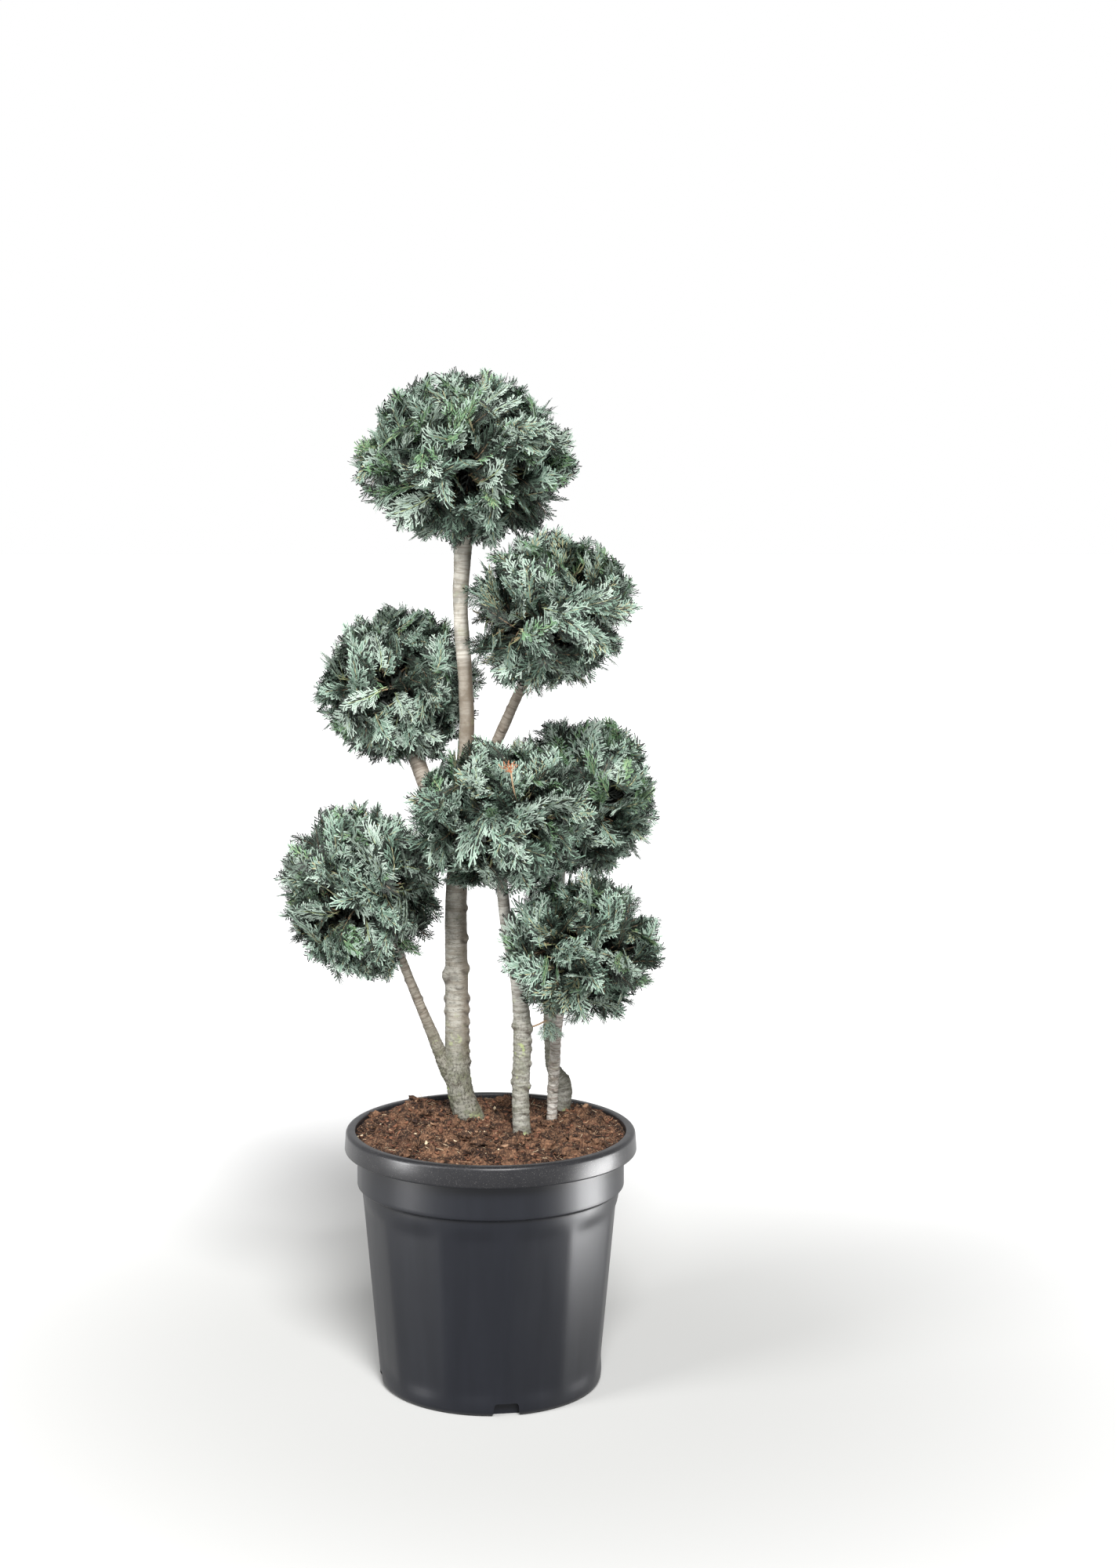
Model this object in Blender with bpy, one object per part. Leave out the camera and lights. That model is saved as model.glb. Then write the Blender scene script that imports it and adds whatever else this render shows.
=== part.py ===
"""A potted Lawson cypress clipped into seven balls, as separate solids in metres, +Z up.

The origin is the centre of the pot's flat underside. +X points right and +Y points back.
Angles round the pot or a stem are in degrees, 0 to the right and 90 to the back.
"""

import math
import random
from collections import namedtuple

import bmesh
import bpy
from mathutils import Vector, noise

# Clearance between neighbouring solids
GAP = 0.0003

# Pot
POT_HEIGHT = 0.305
POT_SEGMENTS = 36
LIP_RADIUS = 0.1787
LIP_BOTTOM = 0.280
LIP_ROUND = 0.005
MOUTH_RADIUS = 0.168
COLLAR_RADIUS = 0.1632
COLLAR_BOTTOM = 0.2385
BODY_TOP_RADIUS = 0.1574
BODY_TOP = 0.235
BASE_RADIUS = 0.1344
BASE_ROUND = 0.008
WALL = 0.003
FLOOR = 0.004
FLUTES = 12
FLUTE_DEPTH = 0.0022
FLUTE_BOTTOM = 0.012
FLUTE_TOP = 0.226
FLUTE_FADE = 0.016
RIDGE_ANGLE = -82.0
NOTCHES = 4
NOTCH_HEIGHT = 0.016
NOTCH_HALF_FOOT = 0.017
NOTCH_HALF_HEAD = 0.0145
NOTCH_ROUND = 0.004
NOTCH_REACH = 0.012
POT_SHARP_ANGLE = 30.0

# Soil
SOIL_EDGE = 0.300
SOIL_MOUND = 0.0065
SOIL_ROUGHNESS = 0.0035
SOIL_GRAIN = 38.0
SOIL_RINGS = (0.9, 0.72, 0.52, 0.32, 0.14)
Clump = namedtuple("Clump", "x y height width")
CLUMPS = (
    Clump(-0.090, 0.118, 0.009, 0.020),
    Clump(0.118, 0.092, 0.008, 0.018),
    Clump(-0.050, -0.060, 0.005, 0.030),
)

# Limbs: a route is a few points with the radius there
FOOT = 0.3025
RING_STEP = 0.018
FINE_STEP = 0.006
FLARE_HEIGHT = 0.016
KNOB_SPREAD = 1.6
LIMB_SHARP_ANGLE = 50.0
Knob = namedtuple("Knob", "height angle size")
Limb = namedtuple("Limb", "route sides flare flare_angle knobs")
LIMBS = {
    "trunk_main": Limb(
        route=(
            (-0.0290, 0.047, FOOT, 0.0160),
            (-0.0405, 0.047, 0.359, 0.0150),
            (-0.0422, 0.047, 0.474, 0.0141),
            (-0.0420, 0.047, 0.594, 0.0130),
            (-0.0298, 0.047, 0.789, 0.0093),
            (-0.0372, 0.047, 0.934, 0.0092),
            (-0.0355, 0.047, 0.990, 0.0104),
            (-0.0335, 0.047, 1.030, 0.0122),
        ),
        sides=10,
        flare=0.006,
        flare_angle=-10.0,
        knobs=(
            Knob(0.482, 175.0, 0.0050),
            Knob(0.491, 5.0, 0.0035),
            Knob(0.529, -5.0, 0.0030),
            Knob(0.453, 10.0, 0.0030),
            Knob(0.424, -8.0, 0.0028),
            Knob(0.402, 0.0, 0.0028),
            Knob(0.374, 8.0, 0.0025),
        ),
    ),
    "stem_middle": Limb(
        route=(
            (0.0375, -0.024, FOOT, 0.0102),
            (0.0365, -0.024, 0.354, 0.0100),
            (0.0385, -0.026, 0.424, 0.0105),
            (0.0345, -0.031, 0.480, 0.0092),
            (0.0265, -0.035, 0.522, 0.0078),
            (0.0190, -0.038, 0.561, 0.0070),
            (0.0135, -0.045, 0.613, 0.0068),
        ),
        sides=8,
        flare=0.0015,
        flare_angle=0.0,
        knobs=(
            Knob(0.436, 180.0, 0.0022),
            Knob(0.432, 0.0, 0.0028),
            Knob(0.360, 0.0, 0.0026),
        ),
    ),
    "stem_front_right": Limb(
        route=(
            (0.0762, 0.029, FOOT, 0.0058),
            (0.0772, 0.026, 0.345, 0.0064),
            (0.0805, 0.012, 0.412, 0.0064),
            (0.0835, -0.001, 0.442, 0.0060),
            (0.0865, -0.010, 0.457, 0.0058),
        ),
        sides=8,
        flare=0.0012,
        flare_angle=180.0,
        knobs=(),
    ),
    "stem_rear_right": Limb(
        route=(
            (0.0905, 0.095, FOOT, 0.0092),
            (0.0922, 0.095, 0.333, 0.0098),
            (0.0793, 0.096, 0.3555, 0.0084),
            (0.0760, 0.097, 0.385, 0.0076),
            (0.0744, 0.098, 0.417, 0.0074),
            (0.0775, 0.103, 0.494, 0.0070),
            (0.0895, 0.1125, 0.604, 0.0061),
        ),
        sides=8,
        flare=0.0012,
        flare_angle=0.0,
        knobs=(),
    ),
    "bough_lower_left": Limb(
        route=(
            (-0.0385, 0.047, 0.335, 0.0105),
            (-0.0560, 0.0465, 0.3696, 0.0088),
            (-0.0707, 0.0455, 0.4047, 0.0072),
            (-0.0902, 0.043, 0.4515, 0.0060),
            (-0.1115, 0.038, 0.506, 0.0056),
        ),
        sides=8,
        flare=0.0,
        flare_angle=0.0,
        knobs=(),
    ),
    "bough_upper_left": Limb(
        route=(
            (-0.0400, 0.047, 0.624, 0.0120),
            (-0.0560, 0.066, 0.659, 0.0108),
            (-0.0780, 0.088, 0.704, 0.0102),
            (-0.0945, 0.103, 0.746, 0.0098),
        ),
        sides=8,
        flare=0.0,
        flare_angle=0.0,
        knobs=(),
    ),
    "bough_upper_right": Limb(
        route=(
            (-0.0360, 0.047, 0.672, 0.0085),
            (-0.0230, 0.045, 0.704, 0.0078),
            (-0.0060, 0.040, 0.739, 0.0070),
            (0.0095, 0.034, 0.778, 0.0066),
            (0.0375, 0.0215, 0.8415, 0.0061),
        ),
        sides=8,
        flare=0.0,
        flare_angle=0.0,
        knobs=(),
    ),
}
TRUNK_BOUGHS = ("bough_lower_left", "bough_upper_left", "bough_upper_right")
STEMS = ("trunk_main", "stem_middle", "stem_front_right", "stem_rear_right")

# Balls: the clipped space is an ellipsoid
Ball = namedtuple("Ball", "carrier centre half_axes seed")
BALLS = {
    "ball_top": Ball("trunk_main", (-0.032, 0.045, 1.124), (0.133, 0.125, 0.108), 11),
    "ball_upper_right": Ball("bough_upper_right", (0.075, 0.005, 0.934), (0.105, 0.098, 0.100), 12),
    "ball_upper_left": Ball("bough_upper_left", (-0.119, 0.125, 0.8345), (0.105, 0.098, 0.100), 13),
    "ball_centre": Ball("stem_middle", (0.0125, -0.062, 0.695), (0.111, 0.096, 0.093), 14),
    "ball_rear_right": Ball("stem_rear_right", (0.114, 0.125, 0.693), (0.101, 0.098, 0.101), 15),
    "ball_lower_left": Ball("bough_lower_left", (-0.162, 0.030, 0.589), (0.101, 0.098, 0.107), 16),
    "ball_lower_right": Ball("stem_front_right", (0.1095, -0.045, 0.535), (0.099, 0.092, 0.089), 17),
}
CORE_SHARE = 0.76
CORE_LUMPS = 0.05
CORE_FACE_LEVEL = 2
BALL_STEM_SIDES = 6
BALL_STEM_REACH = 0.80
BALL_STEM_TAPER = 0.95
BALL_STEM_END_RADIUS = 0.004
RIBS = 5
RIB_SIDES = 3
RIB_RADIUS = 0.0028
RIB_TAPER = 0.60
RIB_RISE = 0.75
RIB_SPREAD = 0.62
RIB_NUDGE = 0.2
SPRAYS = 44
SPRAY_NUDGE = 0.5
SPRAY_ROOT_SHARE = 0.60
SPRAY_DROP = 0.10
SPRAY_REACH = (0.97, 1.04)
SPRAY_TEETH = 3
SPRAY_HALF_ANGLE = 38.0
SPRAY_SHOULDER = 0.80
SPRAY_VALLEY = 0.76
SPRAY_MIDDLE = 0.55
SPRAY_THICKNESS = 0.0030
SPRAY_ROLL = 45.0
SPRAY_TESTS = (0.6, 0.8, 0.9)
LEAST_UPRIGHT = 0.3
SPACE_MARGIN = 1.045
LIMB_CLEARANCE = 0.003
GOLDEN_TURN = math.pi * (3.0 - math.sqrt(5.0))

# Materials
Finish = namedtuple("Finish", "color roughness")
PLASTIC = Finish((0.035, 0.037, 0.042), 0.40)
SOIL = Finish((0.120, 0.055, 0.030), 0.95)
BARK = Finish((0.420, 0.390, 0.330), 0.80)
FOLIAGE = Finish((0.130, 0.230, 0.200), 0.70)


def clear_scene():
    for old in list(bpy.data.objects):
        bpy.data.objects.remove(old, do_unlink=True)


def plain_material(name, finish):
    material = bpy.data.materials.new(name)
    material.use_nodes = True
    shader = material.node_tree.nodes["Principled BSDF"]
    shader.inputs["Base Color"].default_value = (*finish.color, 1.0)
    shader.inputs["Roughness"].default_value = finish.roughness
    shader.inputs["Metallic"].default_value = 0.0
    return material


def add_object(name, bm, material=None):
    """Makes an object of a bmesh, with its faces turned outward, and frees the bmesh."""
    bmesh.ops.recalc_face_normals(bm, faces=bm.faces)
    mesh = bpy.data.meshes.new(name)
    bm.to_mesh(mesh)
    bm.free()
    obj = bpy.data.objects.new(name, mesh)
    bpy.context.scene.collection.objects.link(obj)
    if material:
        mesh.materials.append(material)
    return obj


def add_cutter(name, bm):
    cutter = add_object(name, bm)
    cutter.hide_render = True
    cutter.display_type = "WIRE"
    return cutter


def cut(obj, cutter):
    modifier = obj.modifiers.new(cutter.name, "BOOLEAN")
    modifier.operation = "DIFFERENCE"
    modifier.solver = "EXACT"
    modifier.object = cutter


def blend(value, low, high):
    """0 below low, 1 above high, and a smooth rise between them."""
    share = min(max((value - low) / (high - low), 0.0), 1.0)
    return share * share * (3.0 - 2.0 * share)


# Pot and soil


def body_radius(height):
    return BASE_RADIUS + (BODY_TOP_RADIUS - BASE_RADIUS) * height / BODY_TOP


def flute_depth(height):
    rise = blend(height, FLUTE_BOTTOM, FLUTE_BOTTOM + FLUTE_FADE)
    fall = 1.0 - blend(height, FLUTE_TOP - FLUTE_FADE, FLUTE_TOP)
    return FLUTE_DEPTH * rise * fall


def arc(centre_radius, centre_height, size, start, end, steps):
    """Points of a profile's rounded corner, from angle start to angle end in degrees."""
    turns = [math.radians(start + (end - start) * i / steps) for i in range(steps + 1)]
    return [(centre_radius + size * math.cos(t), centre_height + size * math.sin(t)) for t in turns]


def body_heights():
    return (FLUTE_BOTTOM + FLUTE_FADE, FLUTE_TOP - FLUTE_FADE, FLUTE_TOP)


def inner_profile():
    """The pot's inside, from its floor's edge up to its mouth."""
    points = [(body_radius(FLOOR) - WALL, FLOOR)]
    points += [(body_radius(h) - WALL, h) for h in body_heights()]
    points += [(BODY_TOP_RADIUS - WALL, BODY_TOP - WALL), (COLLAR_RADIUS - WALL, COLLAR_BOTTOM)]
    return points + [(COLLAR_RADIUS - WALL, LIP_BOTTOM), (MOUTH_RADIUS, POT_HEIGHT - WALL)]


def outer_profile():
    """The pot's outside, from the centre of its underside up to the top of its lip."""
    points = [(0.0, 0.0)]
    foot_radius = body_radius(BASE_ROUND)
    points += arc(foot_radius - BASE_ROUND, BASE_ROUND, BASE_ROUND, -90.0, 0.0, 3)
    points += [(body_radius(h), h) for h in body_heights()]
    points += [(BODY_TOP_RADIUS, BODY_TOP), (COLLAR_RADIUS, COLLAR_BOTTOM)]
    points += [(COLLAR_RADIUS, LIP_BOTTOM), (LIP_RADIUS - 0.5 * LIP_ROUND, LIP_BOTTOM)]
    points += [(LIP_RADIUS, LIP_BOTTOM + LIP_ROUND)]
    points += arc(LIP_RADIUS - LIP_ROUND, POT_HEIGHT - LIP_ROUND, LIP_ROUND, 0.0, 90.0, 3)
    return points + [(MOUTH_RADIUS + 0.5 * LIP_ROUND, POT_HEIGHT)]


def turned(profile):
    """Spins a profile of (radius, height) points once round the Z axis."""
    bm = bmesh.new()
    start = math.radians(RIDGE_ANGLE)
    verts = [bm.verts.new((r * math.cos(start), r * math.sin(start), h)) for r, h in profile]
    edges = [bm.edges.new(pair) for pair in zip(verts, verts[1:])]
    bmesh.ops.spin(
        bm, geom=verts + edges, axis=(0, 0, 1), angle=math.tau, steps=POT_SEGMENTS, use_merge=True
    )
    bmesh.ops.remove_doubles(bm, verts=bm.verts, dist=1e-6)
    return bm


def add_flutes(bm):
    """Pulls the plain body in between the upright ridges, and leaves collar and foot round."""
    for vert in bm.verts:
        radius = math.hypot(vert.co.x, vert.co.y)
        turn = math.atan2(vert.co.y, vert.co.x) - math.radians(RIDGE_ANGLE)
        wave = abs(math.sin(0.5 * FLUTES * turn))
        if radius > GAP:
            vert.co.xy *= 1.0 - flute_depth(vert.co.z) * wave / radius


def notch_cutter(index):
    """A prism through the pot's wall: wider at its foot, with rounded upper corners."""
    corner = NOTCH_HALF_HEAD - NOTCH_ROUND
    right = arc(corner, NOTCH_HEIGHT - NOTCH_ROUND, NOTCH_ROUND, 0.0, 90.0, 3)
    right.insert(0, (NOTCH_HALF_FOOT, -NOTCH_ROUND))
    outline = right + [(-x, z) for x, z in reversed(right)]
    angle = math.radians(RIDGE_ANGLE + 360.0 * index / NOTCHES)
    outward = Vector((math.cos(angle), math.sin(angle), 0.0))
    across = Vector((-outward.y, outward.x, 0.0))
    near = outward * (BASE_RADIUS - NOTCH_REACH)
    bm = bmesh.new()
    verts = [bm.verts.new(near + across * x + Vector((0.0, 0.0, z))) for x, z in outline]
    face = bm.faces.new(verts)
    grown = bmesh.ops.extrude_face_region(bm, geom=[face])["geom"]
    moved = [item for item in grown if isinstance(item, bmesh.types.BMVert)]
    bmesh.ops.translate(bm, verts=moved, vec=outward * 2.0 * NOTCH_REACH)
    return add_cutter(f"notch_cutter_{index + 1}", bm)


def make_pot(material):
    inside = list(reversed(inner_profile()))
    bm = turned([*outer_profile(), *inside, (0.0, FLOOR)])
    add_flutes(bm)
    pot = add_object("pot", bm, material)
    for index in range(NOTCHES):
        cut(pot, notch_cutter(index))
    pot.data.shade_smooth()
    pot.data.set_sharp_from_angle(angle=math.radians(POT_SHARP_ANGLE))
    return pot


def soil_height(x, y, edge_share):
    """Height of the soil's top: a low mound with clumps, level at the pot's wall."""
    height = SOIL_EDGE + SOIL_MOUND * (1.0 - edge_share**2)
    loose = 1.0 - edge_share**6
    height += loose * SOIL_ROUGHNESS * noise.noise(Vector((x, y, 0.0)) * SOIL_GRAIN)
    for clump in CLUMPS:
        distance = math.hypot(x - clump.x, y - clump.y)
        height += loose * clump.height * math.exp(-((distance / clump.width) ** 2))
    return height


def make_soil(material):
    inside = inner_profile()
    side = [(radius - flute_depth(height) - GAP, height) for radius, height in inside[:-1]]
    side[0] = (side[0][0], FLOOR + GAP)
    (low_radius, low), (high_radius, high) = inside[-2:]
    share = (SOIL_EDGE - low) / (high - low)
    edge = low_radius + (high_radius - low_radius) * share - GAP
    top = [(edge * share, SOIL_EDGE) for share in (1.0, *SOIL_RINGS, 0.0)]
    bm = turned([(0.0, FLOOR + GAP), *side, *top])
    for vert in bm.verts:
        if vert.co.z > SOIL_EDGE - GAP:
            vert.co.z = soil_height(vert.co.x, vert.co.y, math.hypot(vert.co.x, vert.co.y) / edge)
    soil = add_object("soil", bm, material)
    for name in STEMS:
        seat = add_cutter(f"seat_{name}", limb_mesh(LIMBS[name], extra=GAP))
        cut(soil, seat)
    soil.data.shade_smooth()
    return soil


# Trunk, stems and boughs


def sampled_route(limb, step=RING_STEP):
    """Points (x, y, z, radius) along the smooth curve through a limb's own points."""
    ends = [Vector(point) for point in limb.route]
    ends = [2.0 * ends[0] - ends[1], *ends, 2.0 * ends[-1] - ends[-2]]
    points = []
    for before, start, end, after in zip(ends, ends[1:], ends[2:], ends[3:]):
        steps = max(2, round((end - start).length / step))
        for i in range(steps):
            t = i / steps
            curve = 2.0 * start + t * (end - before)
            curve += t**2 * (2.0 * before - 5.0 * start + 4.0 * end - after)
            curve += t**3 * (3.0 * start - before - 3.0 * end + after)
            points.append(0.5 * curve)
    return [*points, Vector(limb.route[-1])]


def limb_frames(points):
    """The direction along the limb at each point. A stem stands square on its flat foot."""
    places = [point.xyz for point in points]
    tangents = []
    for i, _ in enumerate(places):
        low = places[max(i - 1, 0)]
        high = places[min(i + 1, len(places) - 1)]
        tangents.append((high - low).normalized())
    if abs(places[0].z - FOOT) < GAP:
        tangents[0] = Vector((0.0, 0.0, 1.0))
    return tangents


def surface_radius(limb, place, radius, angle):
    """Radius at an angle round the limb, with the root flare and the knobs of old cuts."""
    flare = math.exp(-(place.z - FOOT) / FLARE_HEIGHT)
    lean = 0.5 + 0.5 * math.cos(angle - math.radians(limb.flare_angle))
    result = radius + limb.flare * flare * lean**2
    for knob in limb.knobs:
        turn = math.remainder(angle - math.radians(knob.angle), math.tau)
        away = (radius * turn) ** 2 + (place.z - knob.height) ** 2
        result += knob.size * math.exp(-away / (KNOB_SPREAD * knob.size) ** 2)
    return result


def ring_points(limb, point, along, extra, sides):
    right = Vector((0.0, 1.0, 0.0)).cross(along).normalized()
    back = along.cross(right)
    ring = []
    for i in range(sides):
        angle = math.tau * i / sides
        radius = surface_radius(limb, point.xyz, point.w, angle) + extra
        ring.append(point.xyz + radius * (math.cos(angle) * right + math.sin(angle) * back))
    return ring


def limb_mesh(limb, extra=0.0):
    """A closed tapering limb with flat ends. Extra makes it fatter, and longer at its foot."""
    points = sampled_route(limb)
    tangents = limb_frames(points)
    rings = [ring_points(limb, p, t, extra, limb.sides) for p, t in zip(points, tangents)]
    rings[0] = [corner - tangents[0] * extra for corner in rings[0]]
    bm = bmesh.new()
    face = bm.faces.new([bm.verts.new(corner) for corner in rings[0]])
    edges = list(face.edges)
    for ring in rings[1:]:
        grown = bmesh.ops.extrude_edge_only(bm, edges=edges)["geom"]
        edges = [item for item in grown if isinstance(item, bmesh.types.BMEdge)]
        corners = ordered_corners(edges, bm)
        for vert, corner in zip(corners, ring):
            vert.co = corner
    bm.faces.new(ordered_corners(edges, bm))
    return bm


def ordered_corners(edges, bm):
    """The corners of the newest ring. Extruding keeps the order in which they were made."""
    bm.verts.index_update()
    corners = {vert for edge in edges for vert in edge.verts}
    return sorted(corners, key=lambda vert: vert.index)


def make_limb(name, material):
    limb = add_object(name, limb_mesh(LIMBS[name]), material)
    limb.data.shade_smooth()
    limb.data.set_sharp_from_angle(angle=math.radians(LIMB_SHARP_ANGLE))
    return limb


def make_limbs(material):
    for name in STEMS:
        make_limb(name, material)
    trunk = add_cutter("trunk_clearance", limb_mesh(LIMBS["trunk_main"], extra=GAP))
    for name in TRUNK_BOUGHS:
        cut(make_limb(name, material), trunk)


# Balls of foliage


def in_space(ball, place, margin):
    """Whether a place lies in a ball's clipped space, made larger by the margin."""
    offset = place - Vector(ball.centre)
    return sum((offset[i] / ball.half_axes[i]) ** 2 for i in range(3)) < margin**2


def touches_limb(places, limb_points):
    for place in places:
        for point in limb_points:
            if (place - point.xyz).length < point.w + LIMB_CLEARANCE:
                return True
    return False


def on_ball(ball, direction, share):
    offset = Vector(direction[i] * ball.half_axes[i] for i in range(3))
    return Vector(ball.centre) + share * offset


def even_directions(count, rng):
    """Directions spread evenly over the sphere by the golden turn, each moved a little."""
    for i in range(count):
        height = 1.0 - 2.0 * (i + 0.5) / count
        width = math.sqrt(1.0 - height**2)
        turn = GOLDEN_TURN * i
        even = Vector((width * math.cos(turn), width * math.sin(turn), height))
        nudge = Vector(rng.uniform(-1.0, 1.0) for _ in range(3)) * SPRAY_NUDGE / math.sqrt(count)
        yield (even + nudge).normalized()


def spray_plane(along, rng):
    """The width direction of a flat spray: most sprays stand upright on edge."""
    side = Vector((0.0, 0.0, 1.0)) - along * along.z
    if side.length < LEAST_UPRIGHT:
        turn = rng.uniform(0.0, math.tau)
        level = Vector((math.cos(turn), math.sin(turn), 0.0))
        side = level - along * level.dot(along)
    side.normalize()
    roll = math.radians(rng.gauss(0.0, SPRAY_ROLL))
    return side * math.cos(roll) + along.cross(side) * math.sin(roll)


def spray_outline(root, tip, side):
    """A fan with teeth at its outer edge, from its root round to the last tooth."""
    along = tip - root
    length = along.length
    along.normalize()
    outline = [root]
    for i in range(2 * SPRAY_TEETH - 1):
        share = 2.0 * i / (2 * SPRAY_TEETH - 2) - 1.0
        angle = math.radians(SPRAY_HALF_ANGLE * share)
        reach = length * (1.0 - (1.0 - SPRAY_SHOULDER) * share**2)
        if i % 2:
            reach *= SPRAY_VALLEY
        outline.append(root + reach * (math.cos(angle) * along + math.sin(angle) * side))
    return outline


def lens(outline, thickness):
    """A thin closed blade: an outline with a middle point raised on both of its faces."""
    middle = outline[0].lerp(outline[len(outline) // 2], SPRAY_MIDDLE)
    normal = (outline[-1] - outline[0]).cross(outline[1] - outline[0]).normalized()
    bm = bmesh.new()
    rim = [bm.verts.new(place) for place in outline]
    tops = [bm.verts.new(middle + normal * thickness * half) for half in (0.5, -0.5)]
    for i, vert in enumerate(rim):
        for top in tops:
            bm.faces.new((vert, rim[(i + 1) % len(rim)], top))
    return bm


def taper(start, end, start_radius, end_radius, sides):
    """A straight tapering twig with flat ends square to it."""
    along = (end - start).normalized()
    right = Vector((0.0, 1.0, 0.0)).cross(along).normalized()
    back = along.cross(right)
    bm = bmesh.new()
    rings = []
    for place, radius in ((start, start_radius), (end, end_radius)):
        turns = [math.tau * i / sides for i in range(sides)]
        ring = [place + radius * (math.cos(t) * right + math.sin(t) * back) for t in turns]
        rings.append([bm.verts.new(corner) for corner in ring])
    for i in range(sides):
        j = (i + 1) % sides
        bm.faces.new((rings[0][i], rings[0][j], rings[1][j], rings[1][i]))
    bm.faces.new(rings[0])
    bm.faces.new(rings[1])
    return bm


def carrier_tip(ball):
    """The end of the limb that carries the ball, the limb's direction there and its radius."""
    points = sampled_route(LIMBS[ball.carrier])
    return points[-1].xyz, limb_frames(points)[-1], points[-1].w


def core_mesh(ball, rng):
    bm = bmesh.new()
    bmesh.ops.create_icosphere(bm, subdivisions=CORE_FACE_LEVEL, radius=1.0)
    for vert in bm.verts:
        share = CORE_SHARE * (1.0 + rng.uniform(-CORE_LUMPS, CORE_LUMPS))
        vert.co = on_ball(ball, vert.co, share)
    return bm


def stem_meshes(ball, rng):
    """The ball's own stem, square on the limb's tip, and the ribs that fork from it."""
    tip, along, radius = carrier_tip(ball)
    start = tip + along * GAP
    bend = start + along * radius
    centre = Vector(ball.centre)
    head = bend.lerp(centre, BALL_STEM_REACH)
    yield taper(start, start + along * 2.0 * radius, radius, radius, BALL_STEM_SIDES)
    yield taper(bend, head, radius * BALL_STEM_TAPER, BALL_STEM_END_RADIUS, BALL_STEM_SIDES)
    upward = (centre - bend).normalized()
    right = Vector((0.0, 1.0, 0.0)).cross(upward).normalized()
    back = upward.cross(right)
    for i in range(RIBS):
        turn = math.tau * (i + rng.uniform(-RIB_NUDGE, RIB_NUDGE)) / RIBS
        level = math.cos(turn) * right + math.sin(turn) * back
        end = bend.lerp(centre, RIB_RISE) + level * RIB_SPREAD * ball.half_axes[0]
        yield taper(bend, end, RIB_RADIUS, RIB_RADIUS * RIB_TAPER, RIB_SIDES)


def spray_meshes(ball, others, limb_points, rng):
    """The ball's sprays, leaving out those that would leave its space or touch a limb."""
    for direction in even_directions(SPRAYS, rng):
        tip = on_ball(ball, direction, rng.uniform(*SPRAY_REACH))
        root = on_ball(ball, direction, SPRAY_ROOT_SHARE)
        root.z -= SPRAY_DROP * ball.half_axes[2]
        side = spray_plane((tip - root).normalized(), rng)
        outline = spray_outline(root, tip, side)
        inner = [root.lerp(place, share) for place in outline[1:] for share in SPRAY_TESTS]
        if not all(in_space(ball, place, SPACE_MARGIN) for place in outline):
            continue
        if any(in_space(other, place, SPACE_MARGIN) for other in others for place in outline):
            continue
        if touches_limb(outline + inner, limb_points):
            continue
        yield lens(outline, SPRAY_THICKNESS)


def fuse(obj, meshes):
    """Joins the meshes to the object by one union, and removes the pieces it was made of."""
    pieces = bpy.data.collections.new(f"{obj.name}_pieces")
    bpy.context.scene.collection.children.link(pieces)
    for i, bm in enumerate(meshes):
        piece = add_cutter(f"{obj.name}_piece_{i + 1}", bm)
        bpy.context.scene.collection.objects.unlink(piece)
        pieces.objects.link(piece)
    modifier = obj.modifiers.new("union", "BOOLEAN")
    modifier.operation = "UNION"
    modifier.solver = "MANIFOLD"
    modifier.operand_type = "COLLECTION"
    modifier.collection = pieces
    graph = bpy.context.evaluated_depsgraph_get()
    fused = bpy.data.meshes.new_from_object(obj.evaluated_get(graph))
    obj.modifiers.remove(modifier)
    obj.data = fused
    for piece in list(pieces.objects):
        bpy.data.objects.remove(piece, do_unlink=True)
    bpy.data.collections.remove(pieces)


def keep_main_body(mesh):
    """Drops loose scraps and fills sealed hollows, by keeping only the largest shell."""
    bm = bmesh.new()
    bm.from_mesh(mesh)
    left = set(bm.verts)
    shells = []
    while left:
        shell = set()
        edge_of_search = [next(iter(left))]
        while edge_of_search:
            vert = edge_of_search.pop()
            if vert in shell:
                continue
            shell.add(vert)
            edge_of_search += [edge.other_vert(vert) for edge in vert.link_edges]
        left -= shell
        shells.append(shell)
    main = max(shells, key=len)
    bmesh.ops.delete(bm, geom=[vert for vert in bm.verts if vert not in main], context="VERTS")
    bmesh.ops.triangulate(bm, faces=bm.faces)
    bm.to_mesh(mesh)
    bm.free()


def make_balls(material):
    limb_points = [point for limb in LIMBS.values() for point in sampled_route(limb, FINE_STEP)]
    for name, ball in BALLS.items():
        rng = random.Random(ball.seed)
        others = [other for other in BALLS.values() if other is not ball]
        core = add_object(name, core_mesh(ball, rng), material)
        meshes = [*stem_meshes(ball, rng), *spray_meshes(ball, others, limb_points, rng)]
        fuse(core, meshes)
        keep_main_body(core.data)


def main():
    clear_scene()
    make_pot(plain_material("pot_plastic", PLASTIC))
    make_soil(plain_material("soil", SOIL))
    make_limbs(plain_material("bark", BARK))
    make_balls(plain_material("foliage", FOLIAGE))


main()
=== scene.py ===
# %% [markdown]
# # A clipped cypress in its nursery pot
# This lesson dresses a packed plant: a Lawson cypress clipped into seven balls, in a black pot.
# The solids already say where each thing is and how large it is, so nothing here moves them.
# Each solid is replaced by a finer mesh in the same place, first the pot and its soil, then the
# bark, and last the foliage, which is most of the work. All lengths are in metres.

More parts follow.
